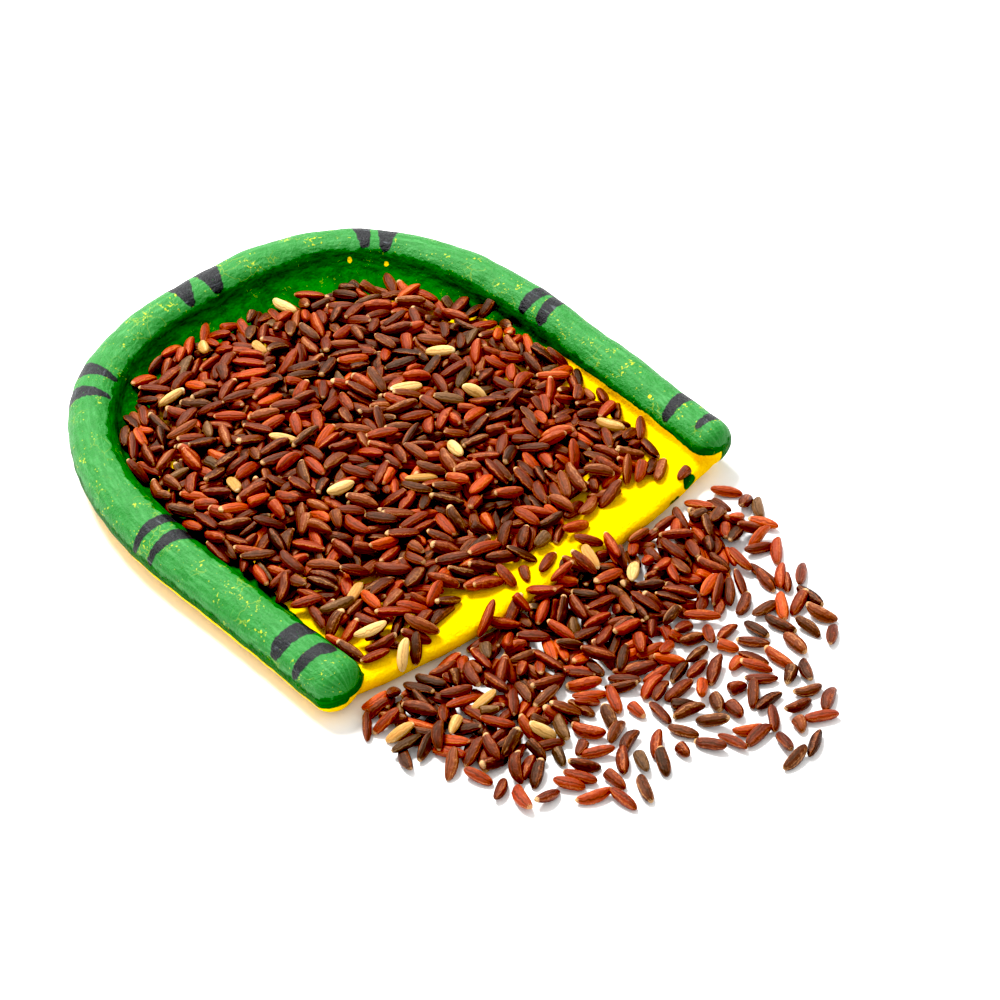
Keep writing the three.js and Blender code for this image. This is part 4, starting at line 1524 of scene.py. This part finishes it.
    @staticmethod
    def _inside(edge: np.ndarray, x: float, y: float) -> bool:
        """Tells whether a place lies in an outline."""
        a, b = edge, np.roll(edge, 1, axis=0)
        spans = (a[:, 1] > y) != (b[:, 1] > y)
        with np.errstate(divide="ignore", invalid="ignore"):
            crossing = (b[:, 0] - a[:, 0]) * (y - a[:, 1]) / (b[:, 1] - a[:, 1]) + a[:, 0]
        return bool((spans & (x < crossing)).sum() % 2)

    def _make(self, name: str, node: str, grains: list[Grain],
              material: bpy.types.Material) -> None:
        """Makes one piece of all the grains of a kind and sets it on the part."""
        if not grains:
            return
        points, along = self.form.points(grains, self.rng)
        count, size = along.shape
        faces, around = self.form.faces(count)
        piece = write_mesh(name, points.reshape(-1, 3), faces)
        write_values(piece.data, "along", along)
        write_values(piece.data, "around", around, "CORNER")
        write_values(piece.data, "tone", np.repeat(self.rng.random(count), size))
        write_values(piece.data, "chip", np.repeat(self.rng.random(count), size))
        self._dress(piece, node, material)

    @staticmethod
    def _dress(piece: bpy.types.Object, node: str, material: bpy.types.Material) -> None:
        """Gives a piece of rice its finish and its place in the part."""
        piece.data.materials.append(material)
        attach(piece, "root")
        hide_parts(node)
        LOG.info("%s: %d faces", piece.name, len(piece.data.polygons))

    def _make_core(self, bed: GrainBed, core: np.ndarray, foot: float,
                   effects: Effects) -> None:
        """Makes the dark body of rice under the grains of the heap."""
        step = self.core_step
        top = core[::step, ::step]
        grid_x, grid_y = bed.x[::step], bed.y[::step]
        known = ~np.isnan(top)
        cells = known[:-1, :-1] & known[1:, :-1] & known[:-1, 1:] & known[1:, 1:]
        r, c = np.nonzero(cells)
        used = np.zeros(top.shape, bool)
        for corner in ((0, 0), (0, 1), (1, 0), (1, 1)):
            used[r + corner[0], c + corner[1]] = True
        where = np.argwhere(used)
        count = len(where)
        upper = np.full(top.shape, -1)
        upper[used] = np.arange(count)
        lower = upper + count
        plan = np.stack([grid_x[where[:, 1]], grid_y[where[:, 0]]], -1)
        points = np.concatenate([
            np.column_stack([plan, top[used] - self.core_sinks]),
            np.column_stack([plan, np.full(count, foot)])])
        roof = np.stack([upper[r, c], upper[r, c + 1], upper[r + 1, c + 1], upper[r + 1, c]], -1)
        base = np.stack([lower[r, c], lower[r + 1, c], lower[r + 1, c + 1], lower[r, c + 1]], -1)
        walls = []
        padded = np.pad(cells, 1)
        for dr, dc, a, b in ((-1, 0, (0, 0), (0, 1)), (0, 1, (0, 1), (1, 1)),
                             (1, 0, (1, 1), (1, 0)), (0, -1, (1, 0), (0, 0))):
            free = ~padded[r + 1 + dr, c + 1 + dc]
            p, q = ((r[free] + end[0], c[free] + end[1]) for end in (a, b))
            walls.append(np.stack([upper[p], lower[p], lower[q], upper[q]], -1))
        piece = write_mesh("heap_core", points, [roof, base, *walls])
        self._dress(piece, "rice_heap", SHADED_RICE.make(effects))


# --------------------------------------------------------------------------- the studio


@dataclass
class Studio:
    """Pale ground, soft light and the view of the tray; the light's place is in metres."""

    eye: tuple[float, float, float] = (-290.06, -299.86, 382.66)
    aim: tuple[float, float, float] = (6.0, 16.48, 4.65)
    lens: float = 115.2
    sensor: float = 36.0
    key_from: tuple[float, float, float] = (0.08, 0.66, 1.12)
    key_size: float = 0.5
    key_power: float = 31.0
    sky: float = 0.93
    black: float = 0.027
    white: float = 0.86
    ground_half: float = 2000.0

    def build(self, effects: Effects, offset: np.ndarray) -> None:
        """Builds the ground, the light and the camera.

        Args:
            effects: The shared shader effects.
            offset: Where the origin of the tray's plan stands, in millimetres.
        """
        scene = bpy.context.scene
        view = scene.view_settings
        view.view_transform = "Standard"
        view.look = "None"
        view.use_curve_mapping = True
        view.curve_mapping.black_level = (self.black,) * 3
        view.curve_mapping.white_level = (self.white,) * 3
        view.curve_mapping.update()
        scene.world = bpy.data.worlds.new("soft_white")
        scene.world.use_nodes = True
        backdrop = scene.world.node_tree.nodes["Background"]
        backdrop.inputs["Color"].default_value = (1.0, 1.0, 1.0, 1.0)
        backdrop.inputs["Strength"].default_value = self.sky
        self._ground(effects)
        self._light()
        self._camera(offset)

    def _ground(self, effects: Effects) -> None:
        """Lays out the pale ground."""
        corners = np.array([(-1, -1, 0), (1, -1, 0), (1, 1, 0), (-1, 1, 0)]) * self.ground_half
        ground = write_mesh("ground", corners, [np.array([[0, 1, 2, 3]])])
        ground.data.materials.append(WHITE_PAPER.make(effects))
        LOG.info("ground: plain pale floor")

    @staticmethod
    def _hang(name: str, data: bpy.types.ID, place: Vector, ahead: Vector) -> bpy.types.Object:
        """Puts a lamp or a camera at a place in metres, facing ahead."""
        made = bpy.data.objects.new(name, data)
        made.location = place
        made.rotation_euler = ahead.to_track_quat("-Z", "Y").to_euler()
        bpy.context.scene.collection.objects.link(made)
        return made

    def _light(self) -> None:
        """Hangs one large soft light that faces the part."""
        data = bpy.data.lights.new("key", "AREA")
        data.shape = "DISK"
        data.size = self.key_size
        data.energy = self.key_power
        self._hang("key", data, Vector(self.key_from), -Vector(self.key_from))

    def _camera(self, offset: np.ndarray) -> None:
        """Sets the camera at the viewing angle."""
        data = bpy.data.cameras.new("view")
        data.lens = self.lens
        data.sensor_width = self.sensor
        data.clip_start = 0.01
        place = Vector((np.array(self.eye) + offset) * MM)
        ahead = Vector(self.aim) - Vector(self.eye)
        bpy.context.scene.camera = self._hang("view", data, place, ahead)


def main() -> None:
    """Builds the studio, the tray and the rice around the frame."""
    logging.basicConfig(level=logging.INFO, format="%(message)s")
    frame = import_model()
    effects = Effects()
    tray = ClayTray()
    tray_piece = tray.build(effects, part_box("tray"))
    Studio().build(effects, tray.offset)
    rng = np.random.default_rng(SEED)
    RiceHeaps(tray, rng).build(effects, frame["nodes"], tray_piece)
    bpy.context.view_layer.update()


if __name__ == "__main__":
    main()
